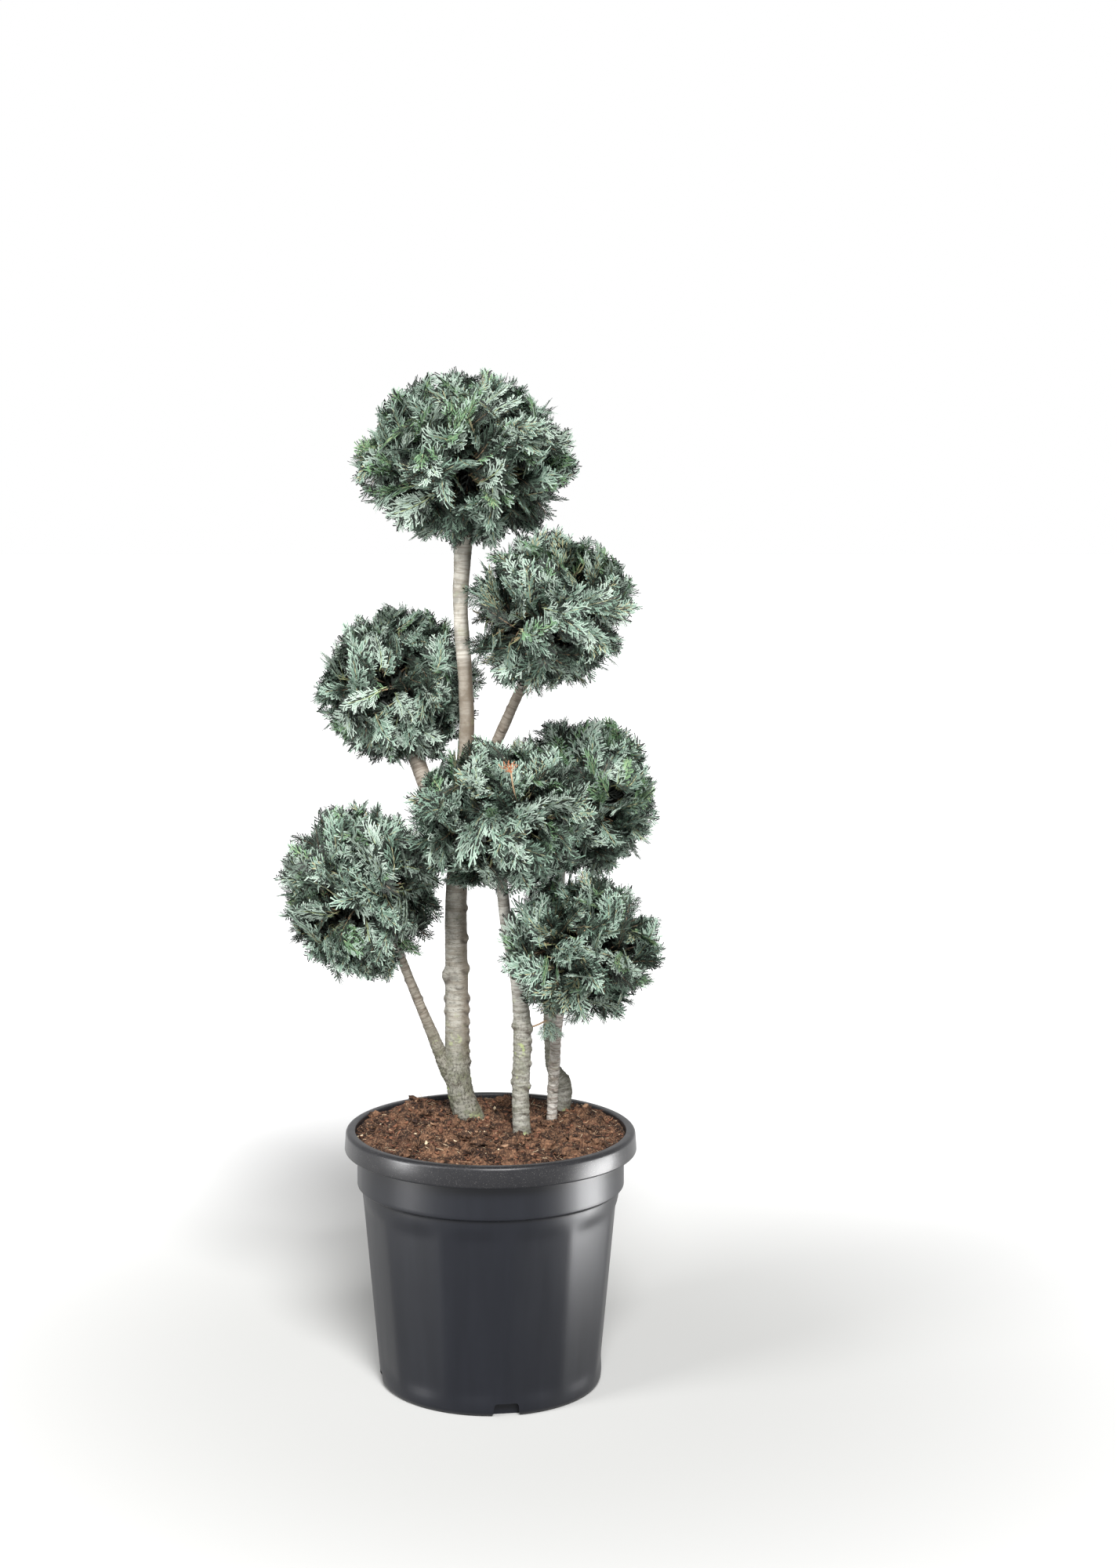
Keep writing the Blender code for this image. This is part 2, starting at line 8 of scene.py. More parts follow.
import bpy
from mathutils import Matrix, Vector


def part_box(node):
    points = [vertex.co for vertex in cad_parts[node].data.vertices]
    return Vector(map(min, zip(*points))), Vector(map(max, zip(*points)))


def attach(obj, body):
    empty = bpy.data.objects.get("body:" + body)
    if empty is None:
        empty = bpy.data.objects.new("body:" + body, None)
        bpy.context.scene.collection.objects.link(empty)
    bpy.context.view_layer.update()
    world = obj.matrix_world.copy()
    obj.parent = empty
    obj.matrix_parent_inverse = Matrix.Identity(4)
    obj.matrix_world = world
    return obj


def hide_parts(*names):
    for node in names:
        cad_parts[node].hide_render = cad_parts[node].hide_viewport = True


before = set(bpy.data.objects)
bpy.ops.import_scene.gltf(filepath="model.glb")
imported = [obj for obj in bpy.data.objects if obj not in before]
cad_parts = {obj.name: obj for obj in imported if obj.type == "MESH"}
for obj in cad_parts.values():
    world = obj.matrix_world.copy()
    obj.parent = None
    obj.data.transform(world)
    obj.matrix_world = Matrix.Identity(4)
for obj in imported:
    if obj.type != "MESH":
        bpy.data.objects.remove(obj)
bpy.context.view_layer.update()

# %% The modules that this lesson uses
import math
import random
from collections import namedtuple

import bmesh
import bpy
import numpy as np
from mathutils import Vector, noise

# %% [markdown]
# ## Materials as small sums
# A finish such as bark is easiest to think of as a sum: a base, plus cracks, less a stain. The
# class `Wire` lets Python's own signs write that sum. Each sign adds one Math node, and `Finish`
# makes every other node. Colours go through Mix nodes, because a Math node would turn them grey.


# %% A wire
class Wire:
    """A node's output that Python's signs can be used on."""

    def __init__(self, finish, socket):
        self.finish = finish
        self.socket = socket

    def maths(self, operation, first, second):
        return self.finish.node("ShaderNodeMath", {"operation": operation}, {0: first, 1: second})

    def __add__(self, other):
        return self.maths("ADD", self, other)

    __radd__ = __add__

    def __mul__(self, other):
        return self.maths("MULTIPLY", self, other)

    __rmul__ = __mul__

    def __sub__(self, other):
        return self.maths("SUBTRACT", self, other)

    def __rsub__(self, other):
        return self.maths("SUBTRACT", other, self)


# %% A finish
class Finish:
    """A material, with one method that makes any node and links its sockets."""

    def __init__(self, name, constants=None):
        self.material = bpy.data.materials.new(name)
        self.material.use_nodes = True
        self.tree = self.material.node_tree
        self.shader = self.tree.nodes["Principled BSDF"]
        for socket, value in (constants or {}).items():
            self.feed(socket, value)

    def node(self, kind, settings=None, sockets=None, output=0):
        node = self.tree.nodes.new(kind)
        for setting, value in (settings or {}).items():
            setattr(node, setting, value)
        for socket, value in (sockets or {}).items():
            self.join(value, node.inputs[socket])
        return Wire(self, node.outputs[output])

    def join(self, value, socket):
        if isinstance(value, Wire):
            self.tree.links.new(value.socket, socket)
        elif isinstance(value, tuple) and socket.type == "RGBA":
            socket.default_value = (*value, 1.0)
        else:
            socket.default_value = value

    def feed(self, socket, wire):
        self.join(wire, self.shader.inputs[socket])

    def coordinates(self):
        return self.node("ShaderNodeTexCoord", output="Object")

    def attribute(self, name, output="Fac"):
        return self.node("ShaderNodeAttribute", {"attribute_name": name}, output=output)

    def along_axis(self, places, axis):
        """One coordinate of a place, X, Y or Z, as a number."""
        return self.node("ShaderNodeSeparateXYZ", None, {0: places}, output=axis)

    def stretched(self, places, scale):
        return self.node("ShaderNodeMapping", None, {"Vector": places, "Scale": scale})

    def cloud(self, places, scale, detail=4.0, roughness=0.55):
        sockets = {"Vector": places, "Scale": scale, "Detail": detail, "Roughness": roughness}
        return self.node("ShaderNodeTexNoise", None, sockets)

    def cells(self, places, scale):
        return self.node("ShaderNodeTexVoronoi", None, {"Vector": places, "Scale": scale})

    def between(self, value, low, high):
        """0 where the value is below low, 1 above high, and a smooth rise between them."""
        sockets = {"Value": value, "From Min": low, "From Max": high}
        return self.node("ShaderNodeMapRange", {"interpolation_type": "SMOOTHSTEP"}, sockets)

    def mixed(self, share, first, second):
        """The first colour where the share is 0, and the second where it is 1."""
        settings = {"data_type": "RGBA"}
        return self.node("ShaderNodeMix", settings, {"Factor": share, 6: first, 7: second}, output=2)

    def relief(self, height, depth):
        """Feeds a height of 0 to 1 to the surface as a bump of that depth in metres."""
        bump = self.node("ShaderNodeBump", None, {"Strength": 1.0, "Distance": depth, "Height": height})
        self.feed("Normal", bump)


print("finishes are ready")

# %% [markdown]
# ## From a mesh to a piece
# Every piece does three things once its mesh is made. It rides on the plant, it stands for the
# solids that it replaces, and it carries its finishes.


# %% Turn a mesh into a piece
def linked(name, data):
    """An object that shows a mesh, a lamp or a camera in the scene."""
    obj = bpy.data.objects.new(name, data)
    bpy.context.scene.collection.objects.link(obj)
    return obj


def add_piece(mesh, nodes, finishes):
    piece = linked(mesh.name, mesh)
    for finish in finishes:
        mesh.materials.append(finish.material)
    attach(piece, "root")
    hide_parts(*nodes)
    mesh.calc_loop_triangles()
    print(f"{piece.name}: {len(mesh.loop_triangles)} triangles")
    return piece


def mesh_of(bm, name):
    bmesh.ops.recalc_face_normals(bm, faces=bm.faces)
    mesh = bpy.data.meshes.new(name)
    bm.to_mesh(mesh)
    bm.free()
    return mesh


def blend(value, low, high):
    """0 below low, 1 above high, and a smooth rise between them."""
    share = min(max((value - low) / (high - low), 0.0), 1.0)
    return share * share * (3.0 - 2.0 * share)


# %% [markdown]
# ## The pot
# A nursery pot is blown or moulded in one piece of thin black plastic: a tapering body with broad
# shallow flutes, a collar, and a rolled lip. One outline spun about the upright axis makes all of
# it but the flutes and the drainage notches. The flutes are pulled in afterwards, and the notches
# are cut with a Boolean, because they are the only shapes that don't turn with the rest.

# %% The pot's sizes
pot_low, pot_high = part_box("pot")
POT_HEIGHT = pot_high.z
LIP_RADIUS = (pot_high.x - pot_low.x) / 2.0
POT_STEPS = 192
POT_SHARP = math.radians(40.0)
LIP_BOTTOM = 0.280
LIP_ROUND = 0.005
LIP_DROOP = 0.0012
MOUTH_RADIUS = 0.168
MOUTH_STEP = 0.002
COLLAR_RADIUS = 0.1632
COLLAR_BOTTOM = 0.2385
COLLAR_ROUND = 0.0018
BODY_TOP_RADIUS = 0.1574
BODY_TOP = 0.235
BASE_RADIUS = 0.1344
BASE_ROUND = 0.008
WALL = 0.003
FLUTES = 12
FLUTE_DEPTH = 0.0030
FLUTE_RINGS = 40
FLUTE_BOTTOM = 0.012
FLUTE_TOP = 0.226
FLUTE_FADE = 0.016
FLUTE_RIDGE = 0.10
RIDGE_ANGLE = math.radians(-82.0)
NOTCHES = 4
NOTCH_HEIGHT = 0.016
NOTCH_HALF_FOOT = 0.017
NOTCH_HALF_HEAD = 0.0145
NOTCH_ROUND = 0.004
NOTCH_REACH = 0.012
MERGE_DISTANCE = 1e-6
print(f"the pot: {POT_HEIGHT:.4f} high, {2.0 * LIP_RADIUS:.4f} across its lip")


# %% Draw the pot's outline
def arc(radius, height, size, start, end, steps=4):
    """Points of a rounded corner, from angle start to angle end in degrees."""
    turns = [math.radians(start + (end - start) * i / steps) for i in range(steps + 1)]
    return [(radius + size * math.cos(t), height + size * math.sin(t)) for t in turns]


def body_radius(height):
    return BASE_RADIUS + (BODY_TOP_RADIUS - BASE_RADIUS) * height / BODY_TOP


def pot_outline():
    """(radius, height) points up the outside, over the lip, and down inside to below the soil."""
    foot = body_radius(BASE_ROUND)
    points = [(0.0, 0.0), *arc(foot - BASE_ROUND, BASE_ROUND, BASE_ROUND, -90.0, 0.0, 6)]
    heights = np.linspace(FLUTE_BOTTOM, FLUTE_TOP, FLUTE_RINGS)
    points += [(body_radius(h), h) for h in heights]
    points += [(BODY_TOP_RADIUS, BODY_TOP - COLLAR_ROUND)]
    points += arc(BODY_TOP_RADIUS + COLLAR_ROUND, BODY_TOP, COLLAR_ROUND, 180.0, 90.0, 3)
    rolled = COLLAR_RADIUS - COLLAR_ROUND
    points += arc(rolled, COLLAR_BOTTOM + COLLAR_ROUND, COLLAR_ROUND, -90.0, 0.0, 3)
    collar = np.linspace(COLLAR_BOTTOM + 3.0 * COLLAR_ROUND, LIP_BOTTOM, 5)
    points += [(COLLAR_RADIUS, h) for h in collar]
    skirt = 0.5 * LIP_ROUND
    points += arc(LIP_RADIUS - skirt, LIP_BOTTOM + skirt, skirt, -90.0, 0.0, 3)
    top = LIP_RADIUS - LIP_ROUND - LIP_DROOP
    points += arc(top, POT_HEIGHT - LIP_ROUND, LIP_ROUND, 0.0, 90.0, 6)
    points += arc(MOUTH_RADIUS, POT_HEIGHT - 0.5 * LIP_ROUND, 0.5 * LIP_ROUND, 90.0, 180.0)
    inside = COLLAR_RADIUS - WALL
    return points + [(inside + MOUTH_STEP, LIP_BOTTOM), (inside, COLLAR_BOTTOM), (0.0, COLLAR_BOTTOM)]


print("the pot's outline:", len(pot_outline()), "points")


# %% Spin the outline and pull the flutes in
def spun(outline, steps):
    bm = bmesh.new()
    verts = [bm.verts.new((radius, 0.0, height)) for radius, height in outline]
    edges = [bm.edges.new(pair) for pair in zip(verts, verts[1:])]
    bmesh.ops.spin(
        bm, geom=verts + edges, axis=(0, 0, 1), angle=math.tau, steps=steps, use_merge=True
    )
    bmesh.ops.remove_doubles(bm, verts=bm.verts, dist=MERGE_DISTANCE)
    return bm


def add_flutes(bm):
    """Pulls the body in between its ridges. Each ridge is slightly rounded."""
    for vert in bm.verts:
        height = vert.co.z
        radius = vert.co.xy.length
        outside = radius > body_radius(height) - 0.5 * WALL
        if outside and FLUTE_BOTTOM < height < FLUTE_TOP:
            rise = blend(height, FLUTE_BOTTOM, FLUTE_BOTTOM + FLUTE_FADE)
            fall = 1.0 - blend(height, FLUTE_TOP - FLUTE_FADE, FLUTE_TOP)
            turn = math.atan2(vert.co.y, vert.co.x) - RIDGE_ANGLE
            wave = math.hypot(math.sin(0.5 * FLUTES * turn), FLUTE_RIDGE) - FLUTE_RIDGE
            vert.co.xy *= 1.0 - FLUTE_DEPTH * rise * fall * wave / radius


# %% Cut the notches
def notch_cutters():
    """The drainage notches as prisms: wider at the foot, with rounded upper corners."""
    corner = NOTCH_HALF_HEAD - NOTCH_ROUND
    right = [(NOTCH_HALF_FOOT, -NOTCH_ROUND)]
    right += arc(corner, NOTCH_HEIGHT - NOTCH_ROUND, NOTCH_ROUND, 0.0, 90.0)
    outline = right + [(-x, z) for x, z in reversed(right)]
    bm = bmesh.new()
    for index in range(NOTCHES):
        angle = RIDGE_ANGLE + math.tau * index / NOTCHES
        outward = Vector((math.cos(angle), math.sin(angle), 0.0))
        across = Vector((-outward.y, outward.x, 0.0))
        near = outward * (BASE_RADIUS - NOTCH_REACH)
        face = bm.faces.new([bm.verts.new(near + across * x + Vector((0, 0, z))) for x, z in outline])
        grown = bmesh.ops.extrude_face_region(bm, geom=[face])["geom"]
        moved = [item for item in grown if isinstance(item, bmesh.types.BMVert)]
        bmesh.ops.translate(bm, verts=moved, vec=outward * 2.0 * NOTCH_REACH)
    return mesh_of(bm, "notches")


def cut(mesh, cutter_mesh):
    """The mesh less the cutter, as a new mesh. Nothing of the two objects stays in the scene."""
    body = linked("cut_body", mesh)
    cutter = linked("cutter", cutter_mesh)
    boolean = body.modifiers.new("cut", "BOOLEAN")
    boolean.operation = "DIFFERENCE"
    boolean.object = cutter
    graph = bpy.context.evaluated_depsgraph_get()
    result = bpy.data.meshes.new_from_object(body.evaluated_get(graph))
    name = mesh.name
    for done in (body, cutter):
        bpy.data.objects.remove(done, do_unlink=True)
    for used in (mesh, cutter_mesh):
        bpy.data.meshes.remove(used)
    result.name = name
    return result


# %% [markdown]
# ### Black plastic that has been outdoors
# The body is a smooth, slightly blue charcoal with upright streaks where water ran down. The lip
# was handled and rained on, so it is greyer and finely speckled. Height tells the two apart, so one
# finish serves the whole pot.

# %% The plastic
BODY_DARK = (0.0036, 0.0044, 0.0073)
BODY_PALE = (0.0068, 0.0080, 0.0127)
LIP_DARK = (0.005, 0.005, 0.007)
LIP_PALE = (0.018, 0.018, 0.020)
LIP_SPECK = (0.22, 0.21, 0.20)
PLASTIC_RELIEF = 0.00006


def pot_plastic():
    finish = Finish("pot_plastic", {"IOR": 1.34})
    places = finish.coordinates()
    height = finish.along_axis(places, "Z")
    lip = finish.between(height, LIP_BOTTOM - 0.001, LIP_BOTTOM + 0.003)
    streaks = finish.cloud(finish.stretched(places, (60.0, 60.0, 3.0)), 1.0)
    speckle = finish.between(finish.cloud(places, 900.0, 2.0), 0.60, 0.74)
    dust = finish.cloud(places, 26.0, 6.0, 0.65)
    body = finish.mixed(streaks, BODY_DARK, BODY_PALE)
    dusty = finish.mixed(dust, LIP_DARK, LIP_PALE)
    worn = finish.mixed(lip, body, dusty)
    finish.feed("Base Color", finish.mixed(speckle * lip * 0.35, worn, LIP_SPECK))
    finish.feed("Roughness", 0.33 + 0.12 * streaks - 0.07 * lip + 0.06 * dust)
    finish.relief(finish.cloud(places, 420.0, 3.0) * 0.6 + streaks * 0.4, PLASTIC_RELIEF)
    return finish


def make_pot():
    bm = spun(pot_outline(), POT_STEPS)
    add_flutes(bm)
    mesh = cut(mesh_of(bm, "pot_shell"), notch_cutters())
    mesh.shade_smooth()
    mesh.set_sharp_from_angle(angle=POT_SHARP)
    return add_piece(mesh, ["pot"], [pot_plastic()])


pot = make_pot()

# %% [markdown]
# ## The soil
# Potting mix of bark and coir has no smooth surface at any scale: it is clods of a few centimetres
# made of crumbs, fibres and chips. The crumbs are a finely divided disc that noise pushes up and
# down. The clods, fibres and chips are small meshes of their own, because a surface that is only
# pushed about never shows the loose ends that catch the light.

# %% The soil's sizes
SOIL_EDGE = 0.300
SOIL_RADIUS = 0.1645
SOIL_MOUND = 0.0065
SOIL_DEPTH = 0.030
SOIL_RINGS = 105
SOIL_STEPS = 330
Clump = namedtuple("Clump", "x y height width")
CLUMPS = (
    Clump(-0.090, 0.118, 0.013, 0.022),
    Clump(0.118, 0.092, 0.012, 0.020),
    Clump(-0.050, -0.060, 0.005, 0.030),
)
CALM_EDGE = 0.3
EDGE_POWER = 12
Grain = namedtuple("Grain", "scale depth")
GRAINS = (Grain(24.0, 0.0060), Grain(70.0, 0.0042), Grain(190.0, 0.0024), Grain(480.0, 0.0012))
GRAIN_GAIN = 2.2
PIT_START = 0.10
PIT_DEPTH = 0.0045
print("the soil's top:", SOIL_RINGS * SOIL_STEPS, "places")


# %% The soil's surface
def soil_grain(x, y):
    """How far the crumbs stand out at a place: noise at four scales, creased where it is low."""
    height = 0.0
    for grain in GRAINS:
        place = Vector((x, y, grain.scale)) * grain.scale
        height += grain.depth * (abs(noise.noise(place)) * GRAIN_GAIN - 0.5)
    return height


def soil_height(x, y):
    """Height of the loose top: a mound with clumps, broken up into crumbs."""
    share = min(math.hypot(x, y) / SOIL_RADIUS, 1.0)
    loose = 1.0 - share**EDGE_POWER
    height = SOIL_EDGE + SOIL_MOUND * (1.0 - share**2)
    for clump in CLUMPS:
        distance = math.hypot(x - clump.x, y - clump.y)
        height += loose * clump.height * math.exp(-((distance / clump.width) ** 2))
    return height + (CALM_EDGE + (1.0 - CALM_EDGE) * loose) * soil_grain(x, y)


def make_soil(finish):
    """A disc with a low mound on it, and an attribute `pit` that says how deep a place lies."""
    step = SOIL_RADIUS / SOIL_RINGS
    top = [(SOIL_RADIUS - i * step, SOIL_EDGE) for i in range(SOIL_RINGS)]
    bottom = SOIL_EDGE - SOIL_DEPTH
    bm = spun([(0.0, bottom), (SOIL_RADIUS - WALL, bottom), *top, (0.0, SOIL_EDGE)], SOIL_STEPS)
    pit = bm.verts.layers.float.new("pit")
    for vert in bm.verts:
        if vert.co.z > SOIL_EDGE - 0.5 * SOIL_DEPTH:
            vert[pit] = min(max(PIT_START - soil_grain(vert.co.x, vert.co.y) / PIT_DEPTH, 0.0), 1.0)
            vert.co.z = soil_height(vert.co.x, vert.co.y)
    mesh = mesh_of(bm, "soil_surface")
    mesh.shade_smooth()
    return add_piece(mesh, ["soil"], [finish])


# %% [markdown]
# ### The mix's colour
# Dry crumbs are brown, the coir among them is rust-red, and some stretches are still wet and
# nearly black. Light hardly reaches the creases between the crumbs. Bump alone would leave them as
# bright as the rest, so shade is painted into them: the rims of the crumbs' cells are darkened, and
# the attribute `pit`, which the mesh got while it was pushed about, darkens the low places.

# %% The mix
CLOD_DARK = (0.018, 0.010, 0.007)
CLOD_BROWN = (0.165, 0.086, 0.050)
CLOD_WET = (0.030, 0.018, 0.014)
COIR_RUST = (0.330, 0.190, 0.110)
CRUMB_GAP_SHADE = (0.026, 0.014, 0.010)
PIT_BLACK = (0.012, 0.007, 0.005)
MIX_RELIEF = 0.0012


def soil_mix():
    finish = Finish("soil_mix", {"Specular IOR Level": 0.2})
    places = finish.coordinates()
    clods = finish.cloud(places, 42.0, 5.0, 0.6)
    crumbs = finish.cells(places, 310.0)
    fibre = finish.cloud(finish.stretched(places, (900.0, 160.0, 500.0)), 1.0, 3.0)
    patches = finish.cloud(places, 13.0, 3.0, 0.6)
    pits = finish.between(finish.attribute("pit"), 0.15, 0.85)
    brown = finish.mixed(finish.between(clods, 0.40, 0.60), CLOD_DARK, CLOD_BROWN)
    wet = finish.mixed(finish.between(patches, 0.54, 0.62) * 0.65, brown, CLOD_WET)
    rust = finish.mixed(finish.between(fibre, 0.50, 0.66) * 0.65, wet, COIR_RUST)
    # Painted shade in the gaps between crumbs: the rims of the crumbs' cells are darkened.
    dark = finish.mixed(finish.between(crumbs, 0.35, 0.9) * 0.7, rust, CRUMB_GAP_SHADE)
    # Painted shade in the low places of the crumbs.
    finish.feed("Base Color", finish.mixed(pits * 0.95, dark, PIT_BLACK))
    finish.feed("Roughness", 0.80 + 0.15 * clods)
    finish.relief(fibre * 0.5 + (1.0 - crumbs) * 0.5, MIX_RELIEF)
    return finish


mix_finish = soil_mix()
make_soil(mix_finish)

# %% [markdown]
# ## Many small things in one mesh
# Thousands of chips, twigs and sprays would be slow as objects, so each kind is one mesh made from
# arrays. A small shape is modelled once as a pattern, and a table says where each copy goes: its
# place, its own three directions, its size and its tone. numpy then moves all copies at once.


# %% Copies of a pattern in one mesh
Pattern = namedtuple("Pattern", "corners faces parts")


def pattern_of(bm):
    """The corners, triangles and part numbers of a small bmesh, as arrays."""
    bmesh.ops.triangulate(bm, faces=bm.faces)
    bm.verts.index_update()
    layer = bm.faces.layers.int.get("part")
    corners = np.array([vert.co for vert in bm.verts])
    faces = np.array([[vert.index for vert in face.verts] for face in bm.faces])
    parts = np.array([face[layer] if layer else 0 for face in bm.faces])
    bm.free()
    return Pattern(corners, faces, parts)


def mesh_from_arrays(name, corners, faces, slots):
    mesh = bpy.data.meshes.new(name)
    mesh.vertices.add(len(corners))
    mesh.vertices.foreach_set("co", corners.astype(np.float32).ravel())
    mesh.loops.add(faces.size)
    mesh.loops.foreach_set("vertex_index", faces.astype(np.int32).ravel())
    mesh.polygons.add(len(faces))
    mesh.polygons.foreach_set("loop_start", np.arange(0, faces.size, 3, dtype=np.int32))
    mesh.polygons.foreach_set("material_index", slots.astype(np.int32))
    mesh.update(calc_edges=True)
    return mesh


class Heap:
    """Collects triangles for one mesh."""

    def __init__(self):
        self.corners = []
        self.faces = []
        self.slots = []
        self.count = 0

    def add(self, corners, faces, slots):
        """Adds corners of shape (copies, n, 3), each copy with the same faces (m, 3)."""
        copies, size, _ = corners.shape
        starts = self.count + size * np.arange(copies)
        self.corners.append(corners.reshape(-1, 3))
        self.faces.append((starts[:, None, None] + faces[None]).reshape(-1, 3))
        self.slots.append(np.broadcast_to(slots, (copies, len(faces))).reshape(-1))
        self.count += copies * size

    def mesh(self, name):
        parts = (self.corners, self.faces, self.slots)
        return mesh_from_arrays(name, *(np.concatenate(part) for part in parts))


def unit(vectors):
    return vectors / np.maximum(np.linalg.norm(vectors, axis=-1, keepdims=True), 1e-9)


def turned_about(vectors, axes, angles):
    """Vectors turned about unit axes by angles in radians."""
    cos, sin = np.cos(angles)[:, None], np.sin(angles)[:, None]
    along = np.sum(vectors * axes, axis=1, keepdims=True)
    return vectors * cos + np.cross(axes, vectors) * sin + axes * along * (1.0 - cos)


def placed(pattern, places, along, across, sizes):
    """Copies of a pattern: its x goes along, its y across, and its z squarely out of both."""
    out = np.cross(along, across)
    frames = np.stack([along, across, out], axis=1)
    return places[:, None] + sizes[:, None, None] * (pattern.corners @ frames)


# %% [markdown]
# ### Chips, clods and fibres
# A chip of bark is a bent flake, a coir fibre is a sliver that is thinner at one end, and a clod is
# a rough lump. All lie nearly flat, turned any way, with one end slightly up. The colours of chips
# and fibres run from nearly black to straw, and the palest are rare. Clods have the mix's finish.

# %% Model chips, clods and fibres
MIX_TONES = {
    "mix_dark": (0.030, 0.016, 0.011),
    "mix_brown": (0.110, 0.050, 0.030),
    "mix_red": (0.190, 0.085, 0.048),
    "mix_tan": (0.300, 0.180, 0.110),
    "mix_straw": (0.620, 0.500, 0.340),
}
FIBRE_RADII = (0.026, 0.012)


def chip_pattern(rng):
    """A bent flake, one unit long."""
    bm = bmesh.new()
    bmesh.ops.create_circle(bm, cap_ends=True, segments=6, radius=0.5)
    bmesh.ops.scale(bm, verts=bm.verts, vec=(1.0, rng.uniform(0.35, 0.7), 1.0))
    thick = bmesh.ops.extrude_face_region(bm, geom=list(bm.faces))["geom"]
    raised = [item for item in thick if isinstance(item, bmesh.types.BMVert)]
    bmesh.ops.translate(bm, verts=raised, vec=(0.0, 0.0, rng.uniform(0.10, 0.25)))
    for vert in bm.verts:
        vert.co += Vector(rng.uniform(-0.07, 0.07) for _ in range(3))
        vert.co.z += 0.5 * vert.co.x**2
    return pattern_of(bm)


def clod_pattern(rng):
    """A flat lump of crumbs, one unit wide."""
    bm = bmesh.new()
    bmesh.ops.create_icosphere(bm, subdivisions=3, radius=0.5)
    shift = Vector(rng.uniform(0.0, 9.0) for _ in range(3))
    for vert in bm.verts:
        swell = noise.noise(vert.co * 3.0 + shift) + 0.7 * noise.noise(vert.co * 9.0 + shift)
        vert.co *= 1.0 + 0.75 * swell
        vert.co.z *= 0.5
    return pattern_of(bm)


def fibre_pattern(rng):
    """A bent three-sided sliver, one unit long."""
    bm = bmesh.new()
    thick, thin = FIBRE_RADII
    bmesh.ops.create_cone(bm, segments=3, radius1=thick, radius2=thin, depth=1.0, cap_ends=True)
    upright = [edge for edge in bm.edges if abs(edge.verts[0].co.z - edge.verts[1].co.z) > 0.5]
    bmesh.ops.subdivide_edges(bm, edges=upright, cuts=1)
    bend, sweep = rng.uniform(-0.5, 0.5), rng.uniform(-0.5, 0.5)
    for vert in bm.verts:
        x = vert.co.z
        vert.co = Vector((x, vert.co.x + sweep * x * x, vert.co.y + bend * x * x))
    return pattern_of(bm)


# %% Scatter them
Bits = namedtuple("Bits", "count smallest largest shares tilt")
CHIPS = Bits(1700, 0.002, 0.009, (0.46, 0.32, 0.14, 0.06, 0.02), 0.35)
CLODS = Bits(130, 0.006, 0.022, (1.0,), 0.30)
FIBRES = Bits(7600, 0.004, 0.015, (0.26, 0.28, 0.22, 0.18, 0.06), 0.42)
STRAWS = Bits(90, 0.006, 0.016, (0.0, 0.0, 0.0, 0.2, 0.8), 0.15)
MIX_SEED = 5
MIX_ROUGHNESS = 0.85
BITS_INSET = 0.004
BITS_ROLL = 0.35


def scattered(rng, count, radius):
    """Places spread evenly over a disc."""
    turn = rng.uniform(0.0, math.tau, count)
    reach = radius * np.sqrt(rng.uniform(0.0, 1.0, count))
    return reach * np.cos(turn), reach * np.sin(turn)


def scatter_bits(heap, rng, patterns, bits):
    count, smallest, largest, shares, tilt = bits
    x, y = scattered(rng, count, SOIL_RADIUS - BITS_INSET)
    z = [soil_height(*place) for place in zip(x, y)]
    places = np.stack([x, y, z], axis=1)
    turn = rng.uniform(0.0, math.tau, count)
    along = unit(np.stack([np.cos(turn), np.sin(turn), rng.normal(0.0, tilt, count)], axis=1))
    across = unit(np.cross(unit(rng.normal((0.0, 0.0, 1.0), BITS_ROLL, (count, 3))), along))
    sizes = smallest + (largest - smallest) * rng.uniform(0.0, 1.0, count) ** 2
    kinds = rng.integers(0, len(patterns), count)
    tones = rng.choice(len(shares), count, p=shares)
    for kind, pattern in enumerate(patterns):
        rows = kinds == kind
        corners = placed(pattern, places[rows], along[rows], across[rows], sizes[rows])
        heap.add(corners, pattern.faces, tones[rows][:, None])


def plain_finishes(tones, roughness):
    """A dull finish of one colour for each tone."""
    dull = {"Roughness": roughness, "Specular IOR Level": 0.25}
    return [Finish(name, {"Base Color": color, **dull}) for name, color in tones.items()]


def make_mix_bits(mix):
    maker = random.Random(MIX_SEED)
    rng = np.random.default_rng(MIX_SEED)
    dull = plain_finishes(MIX_TONES, MIX_ROUGHNESS)
    for name, pattern, shapes, lots, finishes in (
        ("soil_chips", chip_pattern, 6, (CHIPS,), dull),
        ("soil_clods", clod_pattern, 5, (CLODS,), [mix]),
        ("soil_fibres", fibre_pattern, 6, (FIBRES, STRAWS), dull),
    ):
        heap = Heap()
        patterns = [pattern(maker) for _ in range(shapes)]
        for bits in lots:
            scatter_bits(heap, rng, patterns, bits)
        add_piece(heap.mesh(name), ["soil"], finishes)


make_mix_bits(mix_finish)

# %% [markdown]
# ## Trunk, stems and boughs
# The bark of a young cypress is thin, pale and ringed, with a knob wherever a twig was cut away,
# and it turns rough and flaky close to the soil. Each limb follows the same route as its solid. A
# straight column is made first, with hundreds of rings, and then every corner is moved to its
# place round the curved route, with the bark's relief added to its radius. The column's own
# straight coordinates stay on the mesh as an attribute, so the bark's pattern bends with it.

